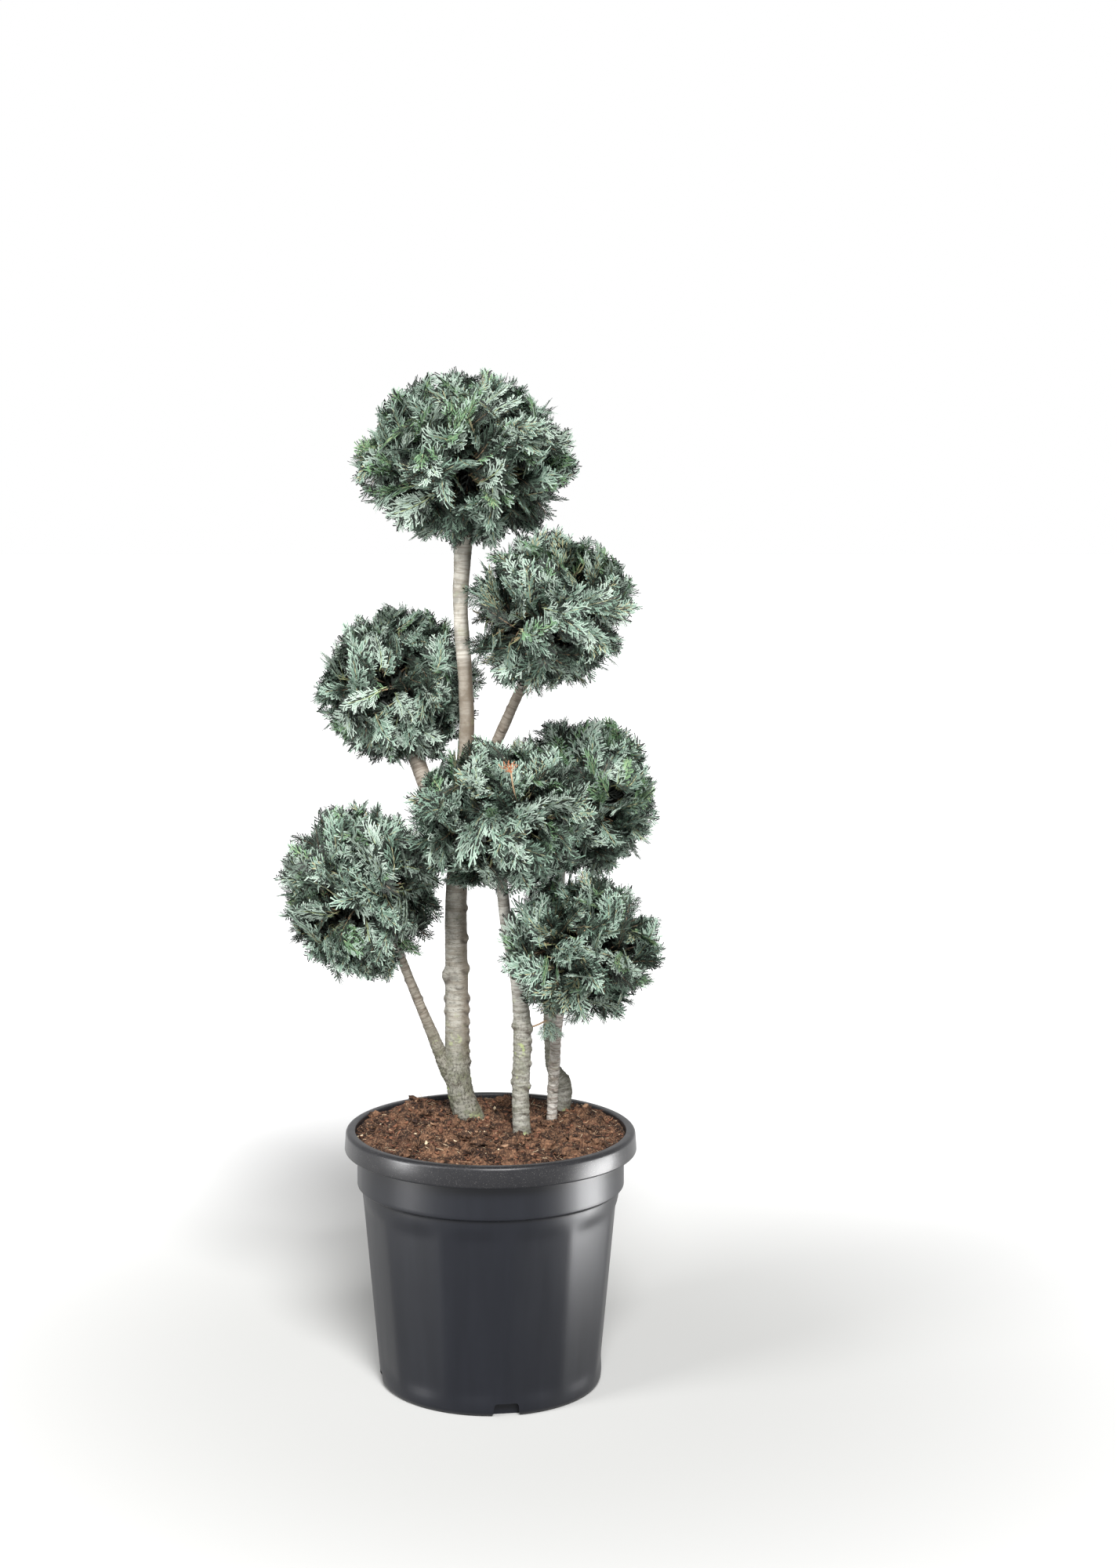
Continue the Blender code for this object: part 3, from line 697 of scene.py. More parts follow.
# %% The limbs' routes
FOOT = 0.3025
Knob = namedtuple("Knob", "height angle size")
Limb = namedtuple("Limb", "route flare flare_angle knobs rough_top")
LIMBS = {
    "trunk_main": Limb(
        route=(
            (-0.0290, 0.047, FOOT, 0.0160),
            (-0.0405, 0.047, 0.359, 0.0150),
            (-0.0422, 0.047, 0.474, 0.0141),
            (-0.0420, 0.047, 0.594, 0.0130),
            (-0.0298, 0.047, 0.789, 0.0093),
            (-0.0372, 0.047, 0.934, 0.0092),
            (-0.0355, 0.047, 0.990, 0.0104),
            (-0.0335, 0.047, 1.030, 0.0122),
        ),
        flare=0.006,
        flare_angle=-10.0,
        knobs=(
            Knob(0.482, 175.0, 0.0045),
            Knob(0.491, -12.0, 0.0032),
            Knob(0.529, -20.0, 0.0028),
            Knob(0.566, -10.0, 0.0020),
            Knob(0.453, 175.0, 0.0022),
            Knob(0.453, 10.0, 0.0028),
            Knob(0.440, -15.0, 0.0026),
            Knob(0.437, 180.0, 0.0018),
            Knob(0.424, -8.0, 0.0026),
            Knob(0.412, 6.0, 0.0020),
            Knob(0.402, 0.0, 0.0024),
            Knob(0.388, -12.0, 0.0018),
            Knob(0.374, 8.0, 0.0022),
            Knob(0.470, -75.0, 0.0016),
            Knob(0.352, -100.0, 0.0016),
        ),
        rough_top=0.375,
    ),
    "stem_middle": Limb(
        route=(
            (0.0375, -0.024, FOOT, 0.0102),
            (0.0365, -0.024, 0.354, 0.0100),
            (0.0385, -0.026, 0.424, 0.0105),
            (0.0345, -0.031, 0.480, 0.0092),
            (0.0265, -0.035, 0.522, 0.0078),
            (0.0190, -0.038, 0.561, 0.0070),
            (0.0135, -0.045, 0.613, 0.0068),
        ),
        flare=0.0015,
        flare_angle=0.0,
        knobs=(
            Knob(0.436, 180.0, 0.0022),
            Knob(0.432, -10.0, 0.0028),
            Knob(0.417, -5.0, 0.0020),
            Knob(0.406, 8.0, 0.0018),
            Knob(0.390, -10.0, 0.0018),
            Knob(0.377, 178.0, 0.0014),
            Knob(0.362, -12.0, 0.0024),
            Knob(0.366, 175.0, 0.0018),
            Knob(0.331, -35.0, 0.0018),
        ),
        rough_top=0.440,
    ),
    "stem_front_right": Limb(
        route=(
            (0.0762, 0.029, FOOT, 0.0058),
            (0.0772, 0.026, 0.345, 0.0064),
            (0.0805, 0.012, 0.412, 0.0064),
            (0.0835, -0.001, 0.442, 0.0060),
            (0.0865, -0.010, 0.457, 0.0058),
        ),
        flare=0.0012,
        flare_angle=180.0,
        knobs=(Knob(0.378, 178.0, 0.0013), Knob(0.366, -70.0, 0.0010), Knob(0.346, -60.0, 0.0012)),
        rough_top=0.400,
    ),
    "stem_rear_right": Limb(
        route=(
            (0.0905, 0.095, FOOT, 0.0092),
            (0.0922, 0.095, 0.333, 0.0098),
            (0.0793, 0.096, 0.3555, 0.0084),
            (0.0760, 0.097, 0.385, 0.0076),
            (0.0744, 0.098, 0.417, 0.0074),
            (0.0775, 0.103, 0.494, 0.0070),
            (0.0895, 0.1125, 0.604, 0.0061),
        ),
        flare=0.0012,
        flare_angle=0.0,
        knobs=(Knob(0.340, 5.0, 0.0012), Knob(0.420, 10.0, 0.0012)),
        rough_top=0.400,
    ),
    "bough_lower_left": Limb(
        route=(
            (-0.0385, 0.047, 0.335, 0.0105),
            (-0.0560, 0.0465, 0.3696, 0.0088),
            (-0.0707, 0.0455, 0.4047, 0.0072),
            (-0.0902, 0.043, 0.4515, 0.0060),
            (-0.1115, 0.038, 0.506, 0.0056),
        ),
        flare=0.0,
        flare_angle=0.0,
        knobs=(Knob(0.420, 160.0, 0.0012), Knob(0.452, 20.0, 0.0012), Knob(0.478, 170.0, 0.0012)),
        rough_top=0.385,
    ),
    "bough_upper_left": Limb(
        route=(
            (-0.0400, 0.047, 0.624, 0.0120),
            (-0.0560, 0.066, 0.659, 0.0108),
            (-0.0780, 0.088, 0.704, 0.0102),
            (-0.0945, 0.103, 0.746, 0.0098),
        ),
        flare=0.0,
        flare_angle=0.0,
        knobs=(Knob(0.700, 0.0, 0.0014),),
        rough_top=0.0,
    ),
    "bough_upper_right": Limb(
        route=(
            (-0.0360, 0.047, 0.672, 0.0085),
            (-0.0230, 0.045, 0.704, 0.0078),
            (-0.0060, 0.040, 0.739, 0.0070),
            (0.0095, 0.034, 0.778, 0.0066),
            (0.0375, 0.0215, 0.8415, 0.0061),
        ),
        flare=0.0,
        flare_angle=0.0,
        knobs=(Knob(0.790, -90.0, 0.0012), Knob(0.815, 170.0, 0.0010)),
        rough_top=0.0,
    ),
}
print("limbs:", len(LIMBS), "and knobs:", sum(len(limb.knobs) for limb in LIMBS.values()))


# %% Points along a route
def smooth_route(route, step):
    """Points (x, y, z, radius) on the smooth curve through the route's own points."""
    ends = [np.array(point) for point in route]
    ends = [2.0 * ends[0] - ends[1], *ends, 2.0 * ends[-1] - ends[-2]]
    points = []
    for before, start, end, after in zip(ends, ends[1:], ends[2:], ends[3:]):
        steps = max(2, round(np.linalg.norm((end - start)[:3]) / step))
        t = np.arange(steps)[:, None] / steps
        curve = 2.0 * start + t * (end - before)
        curve = curve + t**2 * (2.0 * before - 5.0 * start + 4.0 * end - after)
        curve = curve + t**3 * (3.0 * start - before - 3.0 * end + after)
        points.append(0.5 * curve)
    return np.concatenate([*points, [np.array(route[-1])]])


def route_frames(points):
    """Along, right and back at each point of a route."""
    along = unit(np.gradient(points[:, :3], axis=0))
    if abs(points[0, 2] - FOOT) < 1e-4:
        along[0] = (0.0, 0.0, 1.0)
    right = unit(np.cross(np.array((0.0, 1.0, 0.0)), along))
    return along, right, np.cross(along, right)


# %% [markdown]
# ### The bark's relief
# Three things stand out of the smooth wood: fine rings a few millimetres apart that break off and
# start again round the stem, flat plates that lift near the foot, and the knobs. Plates are about a
# millimetre high, rings much less, and a knob stands out by a few millimetres. All of it is in the
# mesh, because bump alone would leave the outline of a stem as smooth as a pipe.

# %% The relief
SWELL_DEPTH = 0.0007
RING_DEPTH = 0.0005
FINE_DEPTH = 0.00018
PLATE_DEPTH = 0.0013
PLATE_GRAIN = 0.0006
ROUGH_FADE = (-0.02, 0.06)
FLARE_HEIGHT = 0.016
KNOB_SPREAD = 1.6
KNOB_GAIN = 1.25
KNOB_NEAR = 5.0
DENT_DEPTH = 0.45
DENT_WIDTH = 0.35
SCAR_SHADOW_REACH = 1.25
SCAR_SHADOW_WIDTH = 0.40
SCAR_SHADOW_SQUASH = 0.6


def ripple(straight, round_scale, along_scale):
    """Noise on the straight column, with its own scales round it and along it."""
    x, y, along = straight
    return noise.noise(Vector((x * round_scale, y * round_scale, along * along_scale)))


def roughness(height, rough_top):
    """1 where the bark is old and rough, and 0 some centimetres above that."""
    return 1.0 - blend(height, rough_top + ROUGH_FADE[0], rough_top + ROUGH_FADE[1])


def bark_relief(straight, height, rough_top):
    """How far the bark stands out at a place on the straight column."""
    swell = SWELL_DEPTH * ripple(straight, 30.0, 34.0)
    rings = RING_DEPTH * abs(ripple(straight, 45.0, 520.0))
    fine = ripple(straight, 130.0, 1100.0)
    plates = PLATE_DEPTH * (0.5 - abs(ripple(straight, 260.0, 230.0)) * 2.0) + PLATE_GRAIN * fine
    return swell + rings + FINE_DEPTH * fine + roughness(height, rough_top) * plates


def knob_distance(knob, height, angle, radius):
    """How far a place lies from a knob, in widths of the knob."""
    turn = math.remainder(angle - math.radians(knob.angle), math.tau)
    return math.hypot(radius * turn, height - knob.height) / (KNOB_SPREAD * knob.size)


def knob_height(limb, height, angle, radius):
    """How far knobs and root flare stand out at a height and an angle."""
    result = limb.flare * math.exp(-(height - FOOT) / FLARE_HEIGHT)
    result *= (0.5 + 0.5 * math.cos(angle - math.radians(limb.flare_angle))) ** 2
    for knob in limb.knobs:
        if abs(height - knob.height) < KNOB_NEAR * knob.size:
            away = knob_distance(knob, height, angle, radius)
            dent = 1.0 - DENT_DEPTH * math.exp(-((away / DENT_WIDTH) ** 2))
            result += KNOB_GAIN * knob.size * math.exp(-(away**2)) * dent
    return result


def knob_scar_and_shadow(limb, height, angle, radius):
    """How much of a dark ring round a knob lies here, mostly on its lower side: partly its scar, partly
    a painted shadow under the knob.
    """
    result = 0.0
    for knob in limb.knobs:
        if abs(height - knob.height) < KNOB_NEAR * knob.size:
            away = knob_distance(knob, height, angle, SCAR_SHADOW_SQUASH * radius)
            ring = math.exp(-(((away - SCAR_SHADOW_REACH) / SCAR_SHADOW_WIDTH) ** 2))
            result = max(result, ring * blend(height - knob.height, knob.size, -knob.size))
    return result


# %% Bend a column into a limb
RING_STEP = 0.0016
SIDE_STEP = 0.0018
FEWEST_SIDES = 12
BARK_SHARP = math.radians(60.0)


def column(sides, rings):
    """An upright column of radius 1 from height 0 to 1, with level rings."""
    bm = bmesh.new()
    bmesh.ops.create_cone(bm, segments=sides, radius1=1.0, radius2=1.0, depth=1.0, cap_ends=True)
    bmesh.ops.translate(bm, verts=bm.verts, vec=(0.0, 0.0, 0.5))
    upright = [edge for edge in bm.edges if abs(edge.verts[0].co.z - edge.verts[1].co.z) > 0.5]
    bmesh.ops.subdivide_edges(bm, edges=upright, cuts=rings - 2)
    return bm


def limb_mesh(name, limb, step=RING_STEP):
    """Bends a column round the limb's route, with the bark's relief on it."""
    points = smooth_route(limb.route, step)
    along, right, back = route_frames(points)
    steps = np.linalg.norm(np.diff(points[:, :3], axis=0), axis=1)
    lengths = np.concatenate([[0.0], np.cumsum(steps)])
    sides = max(FEWEST_SIDES, round(math.tau * points[:, 3].mean() / SIDE_STEP))
    bm = column(sides, len(points))
    straight_layer = bm.verts.layers.float_vector.new("straight")
    rough_layer = bm.verts.layers.float.new("rough")
    scar_shadow_layer = bm.verts.layers.float.new("scar_shadow")
    for vert in bm.verts:
        ring = round(vert.co.z * (len(points) - 1))
        angle = math.atan2(vert.co.y, vert.co.x)
        place, radius = points[ring, :3], points[ring, 3]
        cos, sin = math.cos(angle), math.sin(angle)
        straight = (radius * cos, radius * sin, lengths[ring])
        lift = bark_relief(straight, place[2], limb.rough_top)
        radius += lift + knob_height(limb, place[2], angle, radius)
        radius *= vert.co.xy.length
        vert[straight_layer] = straight
        vert[rough_layer] = roughness(place[2], limb.rough_top)
        vert[scar_shadow_layer] = knob_scar_and_shadow(limb, place[2], angle, radius)
        vert.co = place + radius * (cos * right[ring] + sin * back[ring])
    mesh = mesh_of(bm, name)
    mesh.shade_smooth()
    mesh.set_sharp_from_angle(angle=BARK_SHARP)
    return mesh


# %% [markdown]
# ### The bark's colour
# Young bark is pale beige, and darker lower down. Fine rings and a few thin arcs cross it, and the
# lower half is finely wrinkled. A painted shade makes its right side darker and browner, and a
# painted shadow of two balls does the same to a stretch high on the trunk. Where bark is old and
# rough its hollows are dark and algae tints it green-grey, a dark ring lies under each knob, partly
# its scar and partly a painted shadow, and here and there sits a yellow-green spot of lichen. Every
# mark is a noise, stretched as the mark is and cut off at a level, and two attributes say where the
# old bark is and where the scars and their painted shadows lie.

# %% The marks on the bark
Bark = namedtuple("Bark", "pale ringed rings low aged sheltered")
BROWNER = 0.55
WEATHERED_GREY = (0.215, 0.210, 0.178)
WEATHERED_GREEN = (0.125, 0.133, 0.086)
CRACKS = (0.042, 0.040, 0.030)
SCAR_SHADOW_COLOR = (0.055, 0.042, 0.032)
BARK_SHADE_COLOR = (0.150, 0.120, 0.088)
LICHEN = (0.340, 0.400, 0.170)
PALE_ABOVE, LOW_BELOW = 0.62, 0.36
WRINKLED_BELOW = (0.75, 0.50)
BALL_SHADOW_TOP = (0.885, 0.862)
BALL_SHADOW_BOTTOM = (0.70, 0.76)
BARK_SHADE_SIDE = (0.001, 0.012)
BARK_RELIEF = 0.0009


def ringed(finish, kind, places, rings, warm):
    """Fine rings, broad bands and thin arcs across the warm ground colour."""
    wide = finish.cloud(finish.stretched(places, (16.0, 16.0, 75.0)), 1.0, 3.0)
    lines = finish.between(rings, 0.54, 0.68) * kind.rings
    bands = finish.between(wide, 0.54, 0.72) * 0.4 * kind.rings
    banded = finish.mixed(lines + bands, warm, kind.ringed)
    arcs = finish.cloud(finish.stretched(places, (9.0, 9.0, 95.0)), 1.0, 3.0, 0.6) - 0.5
    return finish.mixed(finish.between(arcs * arcs, 0.0016, 0.0002) * kind.rings, banded, kind.ringed)


def sheltered(finish, kind, places, height, mottle, ground):
    """Painted shade on a limb's right side, and a painted shadow of the balls on a stretch of the
    trunk.
    """
    side = finish.between(finish.along_axis(places, "X"), *BARK_SHADE_SIDE)
    ball_shadow = finish.between(height, *BALL_SHADOW_TOP) * finish.between(height, *BALL_SHADOW_BOTTOM)
    return finish.mixed((side + ball_shadow) * (0.5 + mottle) * kind.sheltered, ground, BARK_SHADE_COLOR)


# %% The bark
def bark(name, kind):
    finish = Finish(name, {"Specular IOR Level": 0.25})
    height = finish.along_axis(finish.coordinates(), "Z")
    places = finish.attribute("straight", "Vector")
    rough, scar_shadow = finish.attribute("rough"), finish.attribute("scar_shadow")
    mottle = finish.cloud(places, 60.0, 6.0, 0.65)
    rings = finish.cloud(finish.stretched(places, (26.0, 26.0, 330.0)), 1.0, 4.0, 0.6)
    wrinkles = finish.cloud(finish.stretched(places, (150.0, 150.0, 480.0)), 1.0, 5.0, 0.75)
    plates = finish.cloud(finish.stretched(places, (420.0, 420.0, 300.0)), 1.0, 5.0, 0.7)
    fresh = finish.mixed(finish.between(height, PALE_ABOVE, LOW_BELOW), kind.pale, kind.low)
    brown = tuple(BROWNER * part for part in kind.low)
    warm = finish.mixed(finish.between(mottle, 0.42, 0.66) * 0.75, fresh, brown)
    creases = finish.between(wrinkles, 0.50, 0.38) * finish.between(height, *WRINKLED_BELOW) * 0.55
    lined = finish.mixed(creases, ringed(finish, kind, places, rings, warm), CRACKS)
    # A painted shade on the right side, and a painted shadow of the balls high on the trunk.
    turned = sheltered(finish, kind, places, height, mottle, lined)
    algae = finish.mixed(finish.between(mottle, 0.40, 0.62), WEATHERED_GREY, WEATHERED_GREEN)
    old = finish.mixed(finish.between(plates, 0.52, 0.40), algae, CRACKS)
    aged = finish.mixed(rough * kind.aged, turned, old)
    # A dark ring under each knob: partly its scar, partly a painted shadow.
    scarred_and_shaded = finish.mixed(scar_shadow * (0.35 + mottle), aged, SCAR_SHADOW_COLOR)
    spots = finish.between(finish.cloud(places, 48.0, 3.0), 0.61, 0.67) * (0.15 + 0.85 * rough)
    finish.feed("Base Color", finish.mixed(spots * 0.75, scarred_and_shaded, LICHEN))
    finish.feed("Roughness", 0.62 + 0.25 * rough)
    finish.relief(rings * 0.4 + wrinkles * 0.3 + plates * (0.15 + 0.6 * rough), BARK_RELIEF)
    return finish


# %% The four barks
BARK_KINDS = {
    "trunk": Bark((0.49, 0.465, 0.41), (0.18, 0.15, 0.11), 0.42, (0.31, 0.30, 0.26), 0.80, 0.75),
    "stem": Bark((0.55, 0.53, 0.48), (0.17, 0.145, 0.12), 0.65, (0.52, 0.51, 0.46), 0.60, 0.30),
    "thin": Bark((0.76, 0.72, 0.67), (0.25, 0.18, 0.145), 0.65, (0.76, 0.72, 0.67), 0.45, 0.20),
    "bough": Bark((0.28, 0.25, 0.21), (0.11, 0.085, 0.065), 0.65, (0.24, 0.215, 0.175), 0.80, 0.30),
}
BARKS = {name: bark(f"bark_{name}", kind) for name, kind in BARK_KINDS.items()}
LIMB_BARKS = {
    "trunk_main": "trunk",
    "stem_middle": "stem",
    "stem_front_right": "thin",
    "stem_rear_right": "stem",
    "bough_lower_left": "bough",
    "bough_upper_left": "bough",
    "bough_upper_right": "bough",
}
print("barks:", ", ".join(BARKS))

# %% Grow the limbs
for limb_name, limb in LIMBS.items():
    limb_piece = limb_mesh(f"{limb_name}_bark", limb)
    add_piece(limb_piece, [limb_name], [BARKS[LIMB_BARKS[limb_name]]])

# %% [markdown]
# ## A spray of cypress
# Cypress has no leaves that show as leaves. Tiny scales clothe the twigs, and the twigs fork in one
# plane into a flat fan, like a fern's. One fan is modelled as a pattern: an axis, side shoots that
# are longest low down, and short fingers on both sides of each. Axis and shoots are narrow blades
# folded along their middle, and a finger is a strip of two triangles that is tilted a little, so
# that neighbours catch the light differently. A few fans of different growth are enough, because
# each copy is also bent, turned and sized on its own.

# %% The fan's sizes
FAN_LENGTH = 0.052
FAN_HALF_WIDTH = 0.0165
FAN_PATTERNS = 7
INNER_PATTERNS = 3
INNER_SEED = 20
SHOOTS = 5
SHOOT_ANGLES = (48.0, 27.0)
SHOOT_WIDTH = 0.0021
SHOOT_CURVE = (6.0, 16.0)
AXIS_BLADES = 5
AXIS_WIDTH = 0.0022
FINGER_STEP = 0.0039
FINGER_LENGTH = 0.0112
FINGER_WIDTH = 0.0017
FINGER_ANGLE = 34.0
FINGER_TILT = 0.4
FINGER_DROOP = 0.07
FINGER_TAPER = 0.35
TIP_BEYOND = 0.55
BLADE_SHOULDER = 0.68
BLADE_FOLD = 0.42
AXIS, SHOOT, FINGER, TIP = range(4)


# %% Model the fans
def flat(angle):
    """The direction at an angle in degrees, in the fan's plane."""
    turn = math.radians(angle)
    return Vector((math.cos(turn), math.sin(turn), 0.0))


def add_blade(bm, layer, base, tip, width, part):
    """Two triangles on both sides of the line from base to tip, folded down at their outer ends."""
    along = tip - base
    across = Vector((-along.y, along.x, 0.0)).normalized() * 0.5 * width
    shoulder = base.lerp(tip, BLADE_SHOULDER) - Vector((0.0, 0.0, BLADE_FOLD * width))
    start, end = bm.verts.new(base), bm.verts.new(tip)
    for side in (1.0, -1.0):
        corner = bm.verts.new(shoulder + side * across)
        order = (start, end, corner) if side > 0.0 else (end, start, corner)
        bm.faces.new(order)[layer] = part


def add_finger(bm, layer, rng, base, angle, length, part):
    """A strip of two triangles, narrow at its base and cut off aslant at its end."""
    along, across = flat(angle), flat(angle + 90.0)
    across += Vector((0.0, 0.0, rng.uniform(-FINGER_TILT, FINGER_TILT)))
    tip = base + along * length - Vector((0.0, 0.0, FINGER_DROOP * length * rng.random()))
    wide, narrow = 0.5 * FINGER_WIDTH * across, 0.3 * FINGER_WIDTH * across
    slant = along * FINGER_WIDTH * rng.uniform(0.3, 0.8)
    corners = (base - narrow, tip - slant - wide, tip + wide, base + narrow)
    start, left, end, right = [bm.verts.new(corner) for corner in corners]
    bm.faces.new((start, left, end))[layer] = part
    bm.faces.new((start, end, right))[layer] = part


def shoot_reach(share):
    """Length of a side shoot by its place on the axis: longest low down, shorter to the tip."""
    return blend(share, -0.25, 0.25) * (1.0 - 0.72 * blend(share, 0.15, 1.05))


def add_shoot(bm, layer, rng, base, angle, reach, width, fingered):
    """A side shoot that curves forwards, with fingers on both of its sides."""
    curve = -rng.uniform(*SHOOT_CURVE) if angle > 0.0 else rng.uniform(*SHOOT_CURVE)
    tip = base + reach * flat(angle + 0.5 * curve)
    add_blade(bm, layer, base, tip, width, SHOOT)
    count = max(1, round(reach / FINGER_STEP)) if fingered else 0
    for i in range(count):
        for side in (-1.0, 1.0):
            share = (i + 0.55 + 0.2 * side + rng.uniform(-0.1, 0.1)) / (count + 0.1)
            place = base.lerp(tip, share)
            length = FINGER_LENGTH * (1.0 - FINGER_TAPER * share) * rng.uniform(0.85, 1.1)
            turn = angle + curve * share + side * FINGER_ANGLE * rng.uniform(0.94, 1.06)
            part = TIP if share > TIP_BEYOND else FINGER
            add_finger(bm, layer, rng, place, turn, length, part)


def fan_pattern(seed, shoots=SHOOTS, widen=1.0, fingered=True):
    """A fan along +x in the xy plane, about FAN_LENGTH long."""
    rng = random.Random(seed)
    bm = bmesh.new()
    layer = bm.faces.layers.int.new("part")
    sweep = rng.uniform(-7.0, 7.0)
    joints = [Vector((0.0, 0.0, 0.0))]
    for i in range(AXIS_BLADES):
        joints.append(joints[-1] + FAN_LENGTH / AXIS_BLADES * flat(sweep * i))
        overlap = joints[-2].lerp(joints[-1], 1.25)
        add_blade(bm, layer, joints[-2], overlap, AXIS_WIDTH * widen * (1.0 - 0.1 * i), AXIS)
    for side in (-1.0, 1.0):
        for i in range(shoots):
            share = (i + 0.45 + 0.5 * (side > 0.0) + rng.uniform(-0.12, 0.12)) / (shoots + 0.2)
            step, rest = divmod(min(share, 0.97) * AXIS_BLADES, 1.0)
            base = joints[int(step)].lerp(joints[int(step) + 1], rest)
            opening = SHOOT_ANGLES[0] + (SHOOT_ANGLES[1] - SHOOT_ANGLES[0]) * share
            angle = sweep * step + side * (opening + rng.uniform(-3.0, 3.0))
            reach = FAN_HALF_WIDTH / math.sin(math.radians(opening)) * shoot_reach(share)
            reach *= rng.uniform(0.75, 1.15)
            add_shoot(bm, layer, rng, base, angle, reach, SHOOT_WIDTH * widen, fingered)
    return pattern_of(bm)


FANS = [fan_pattern(seed) for seed in range(FAN_PATTERNS)]
INNER_FANS = [
    fan_pattern(INNER_SEED + seed, widen=2.0, fingered=False) for seed in range(INNER_PATTERNS)
]
print("triangles a fan:", [len(fan.faces) for fan in FANS + INNER_FANS])

# %% [markdown]
# ### The foliage's colours
# A bluish wax covers the scales, so most fans are grey-green. Fans that point up are greener and,
# as a painted light from above, lighter. Young ones are yellow-green along the axis, and a few old
# ones turn brown. Each tone is a few plain colours: one each for the axis, the shoots, the fingers
# and the tips, and mostly a painted shade that is dealt out to some fingers and tips, for their dark
# sides and the slots between them, so that few fans are one flat colour. The first seven tones are
# dealt out by how far a fan points up. The last three are a painted shade for fans that end deeper
# in, a painted shade for the inner fans, and the dead spray's colour.

# %% The tones
LEAF_COLORS = {
    "leaf_shade": (0.012, 0.016, 0.012),
    "leaf_deep": (0.056, 0.084, 0.062),
    "leaf_blue": (0.165, 0.250, 0.192),
    "leaf_grey": (0.300, 0.390, 0.322),
    "leaf_silver": (0.390, 0.470, 0.404),
    "leaf_green": (0.125, 0.225, 0.120),
    "leaf_bright": (0.195, 0.325, 0.170),
    "leaf_young": (0.310, 0.370, 0.200),
    "leaf_straw": (0.340, 0.325, 0.190),
    "leaf_brown": (0.165, 0.115, 0.070),
    "leaf_dead": (0.480, 0.210, 0.110),
}
LEAF_INDEX = {name: index for index, name in enumerate(LEAF_COLORS)}
# The last colour of a tone is mostly a painted shade, dealt out to some fingers and tips.
Tone = namedtuple("Tone", "axis shoot finger tip other")
TONES = {
    "blue": Tone("leaf_straw", "leaf_grey", "leaf_blue", "leaf_grey", "leaf_shade"),
    "silver": Tone("leaf_young", "leaf_silver", "leaf_grey", "leaf_silver", "leaf_shade"),
    "deep": Tone("leaf_straw", "leaf_blue", "leaf_deep", "leaf_blue", "leaf_shade"),
    "edged": Tone("leaf_straw", "leaf_straw", "leaf_blue", "leaf_grey", "leaf_shade"),
    "green": Tone("leaf_young", "leaf_bright", "leaf_green", "leaf_grey", "leaf_shade"),
    "bright": Tone("leaf_young", "leaf_young", "leaf_bright", "leaf_bright", "leaf_deep"),
    "brown": Tone("leaf_brown", "leaf_brown", "leaf_straw", "leaf_straw", "leaf_brown"),
    # Painted shade for fans that end deeper in the ball.
    "recessed_shade": Tone("leaf_brown", "leaf_deep", "leaf_shade", "leaf_deep", "leaf_shade"),
    "shade": Tone("leaf_shade", "leaf_shade", "leaf_shade", "leaf_shade", "leaf_shade"),
    "dead": Tone("leaf_dead", "leaf_dead", "leaf_dead", "leaf_dead", "leaf_dead"),
}
TONE_INDEX = {name: index for index, name in enumerate(TONES)}
TONE_TABLE = np.array([[LEAF_INDEX[leaf] for leaf in tone] for tone in TONES.values()])
SHADED_FINGER = 4
SHADED_FINGER_SHARE = 0.38
LOW_SHARES = np.array((0.40, 0.28, 0.10, 0.14, 0.07, 0.007, 0.003))
HIGH_SHARES = np.array((0.28, 0.31, 0.05, 0.14, 0.19, 0.027, 0.003))
LEAF_ROUGHNESS = 0.55
LEAVES = plain_finishes(LEAF_COLORS, LEAF_ROUGHNESS)
TWIG_COLORS = {
    "twig_brown": (0.090, 0.060, 0.040),
    "twig_tan": (0.420, 0.290, 0.180),
    "twig_green": (0.330, 0.350, 0.180),
}
TWIG_ROUGHNESS = 0.70
TWIGS = plain_finishes(TWIG_COLORS, TWIG_ROUGHNESS)
TWIG_BROWN, TWIG_TAN, TWIG_GREEN = range(len(TWIG_COLORS))
print("tones:", len(TONES), "from", len(LEAF_COLORS), "leaf colours")

# %% [markdown]
# ## How a ball grows
# The limb's tip carries the ball's own stem, which runs on towards the middle and forks into a few
# ribs. From the ribs grow many twigs, spread evenly in all directions, and each twig carries a
# handful of fans that lie in nearly one plane. The planes run from upright to lying flat on the
# ball, so some fans show their face and some their edge, with dark gaps between them. Shears have
# cut everything back to a round space, so the fans end near it, a few wisps reach a little
# further, and a fan that would leave the space or touch a limb is left out.

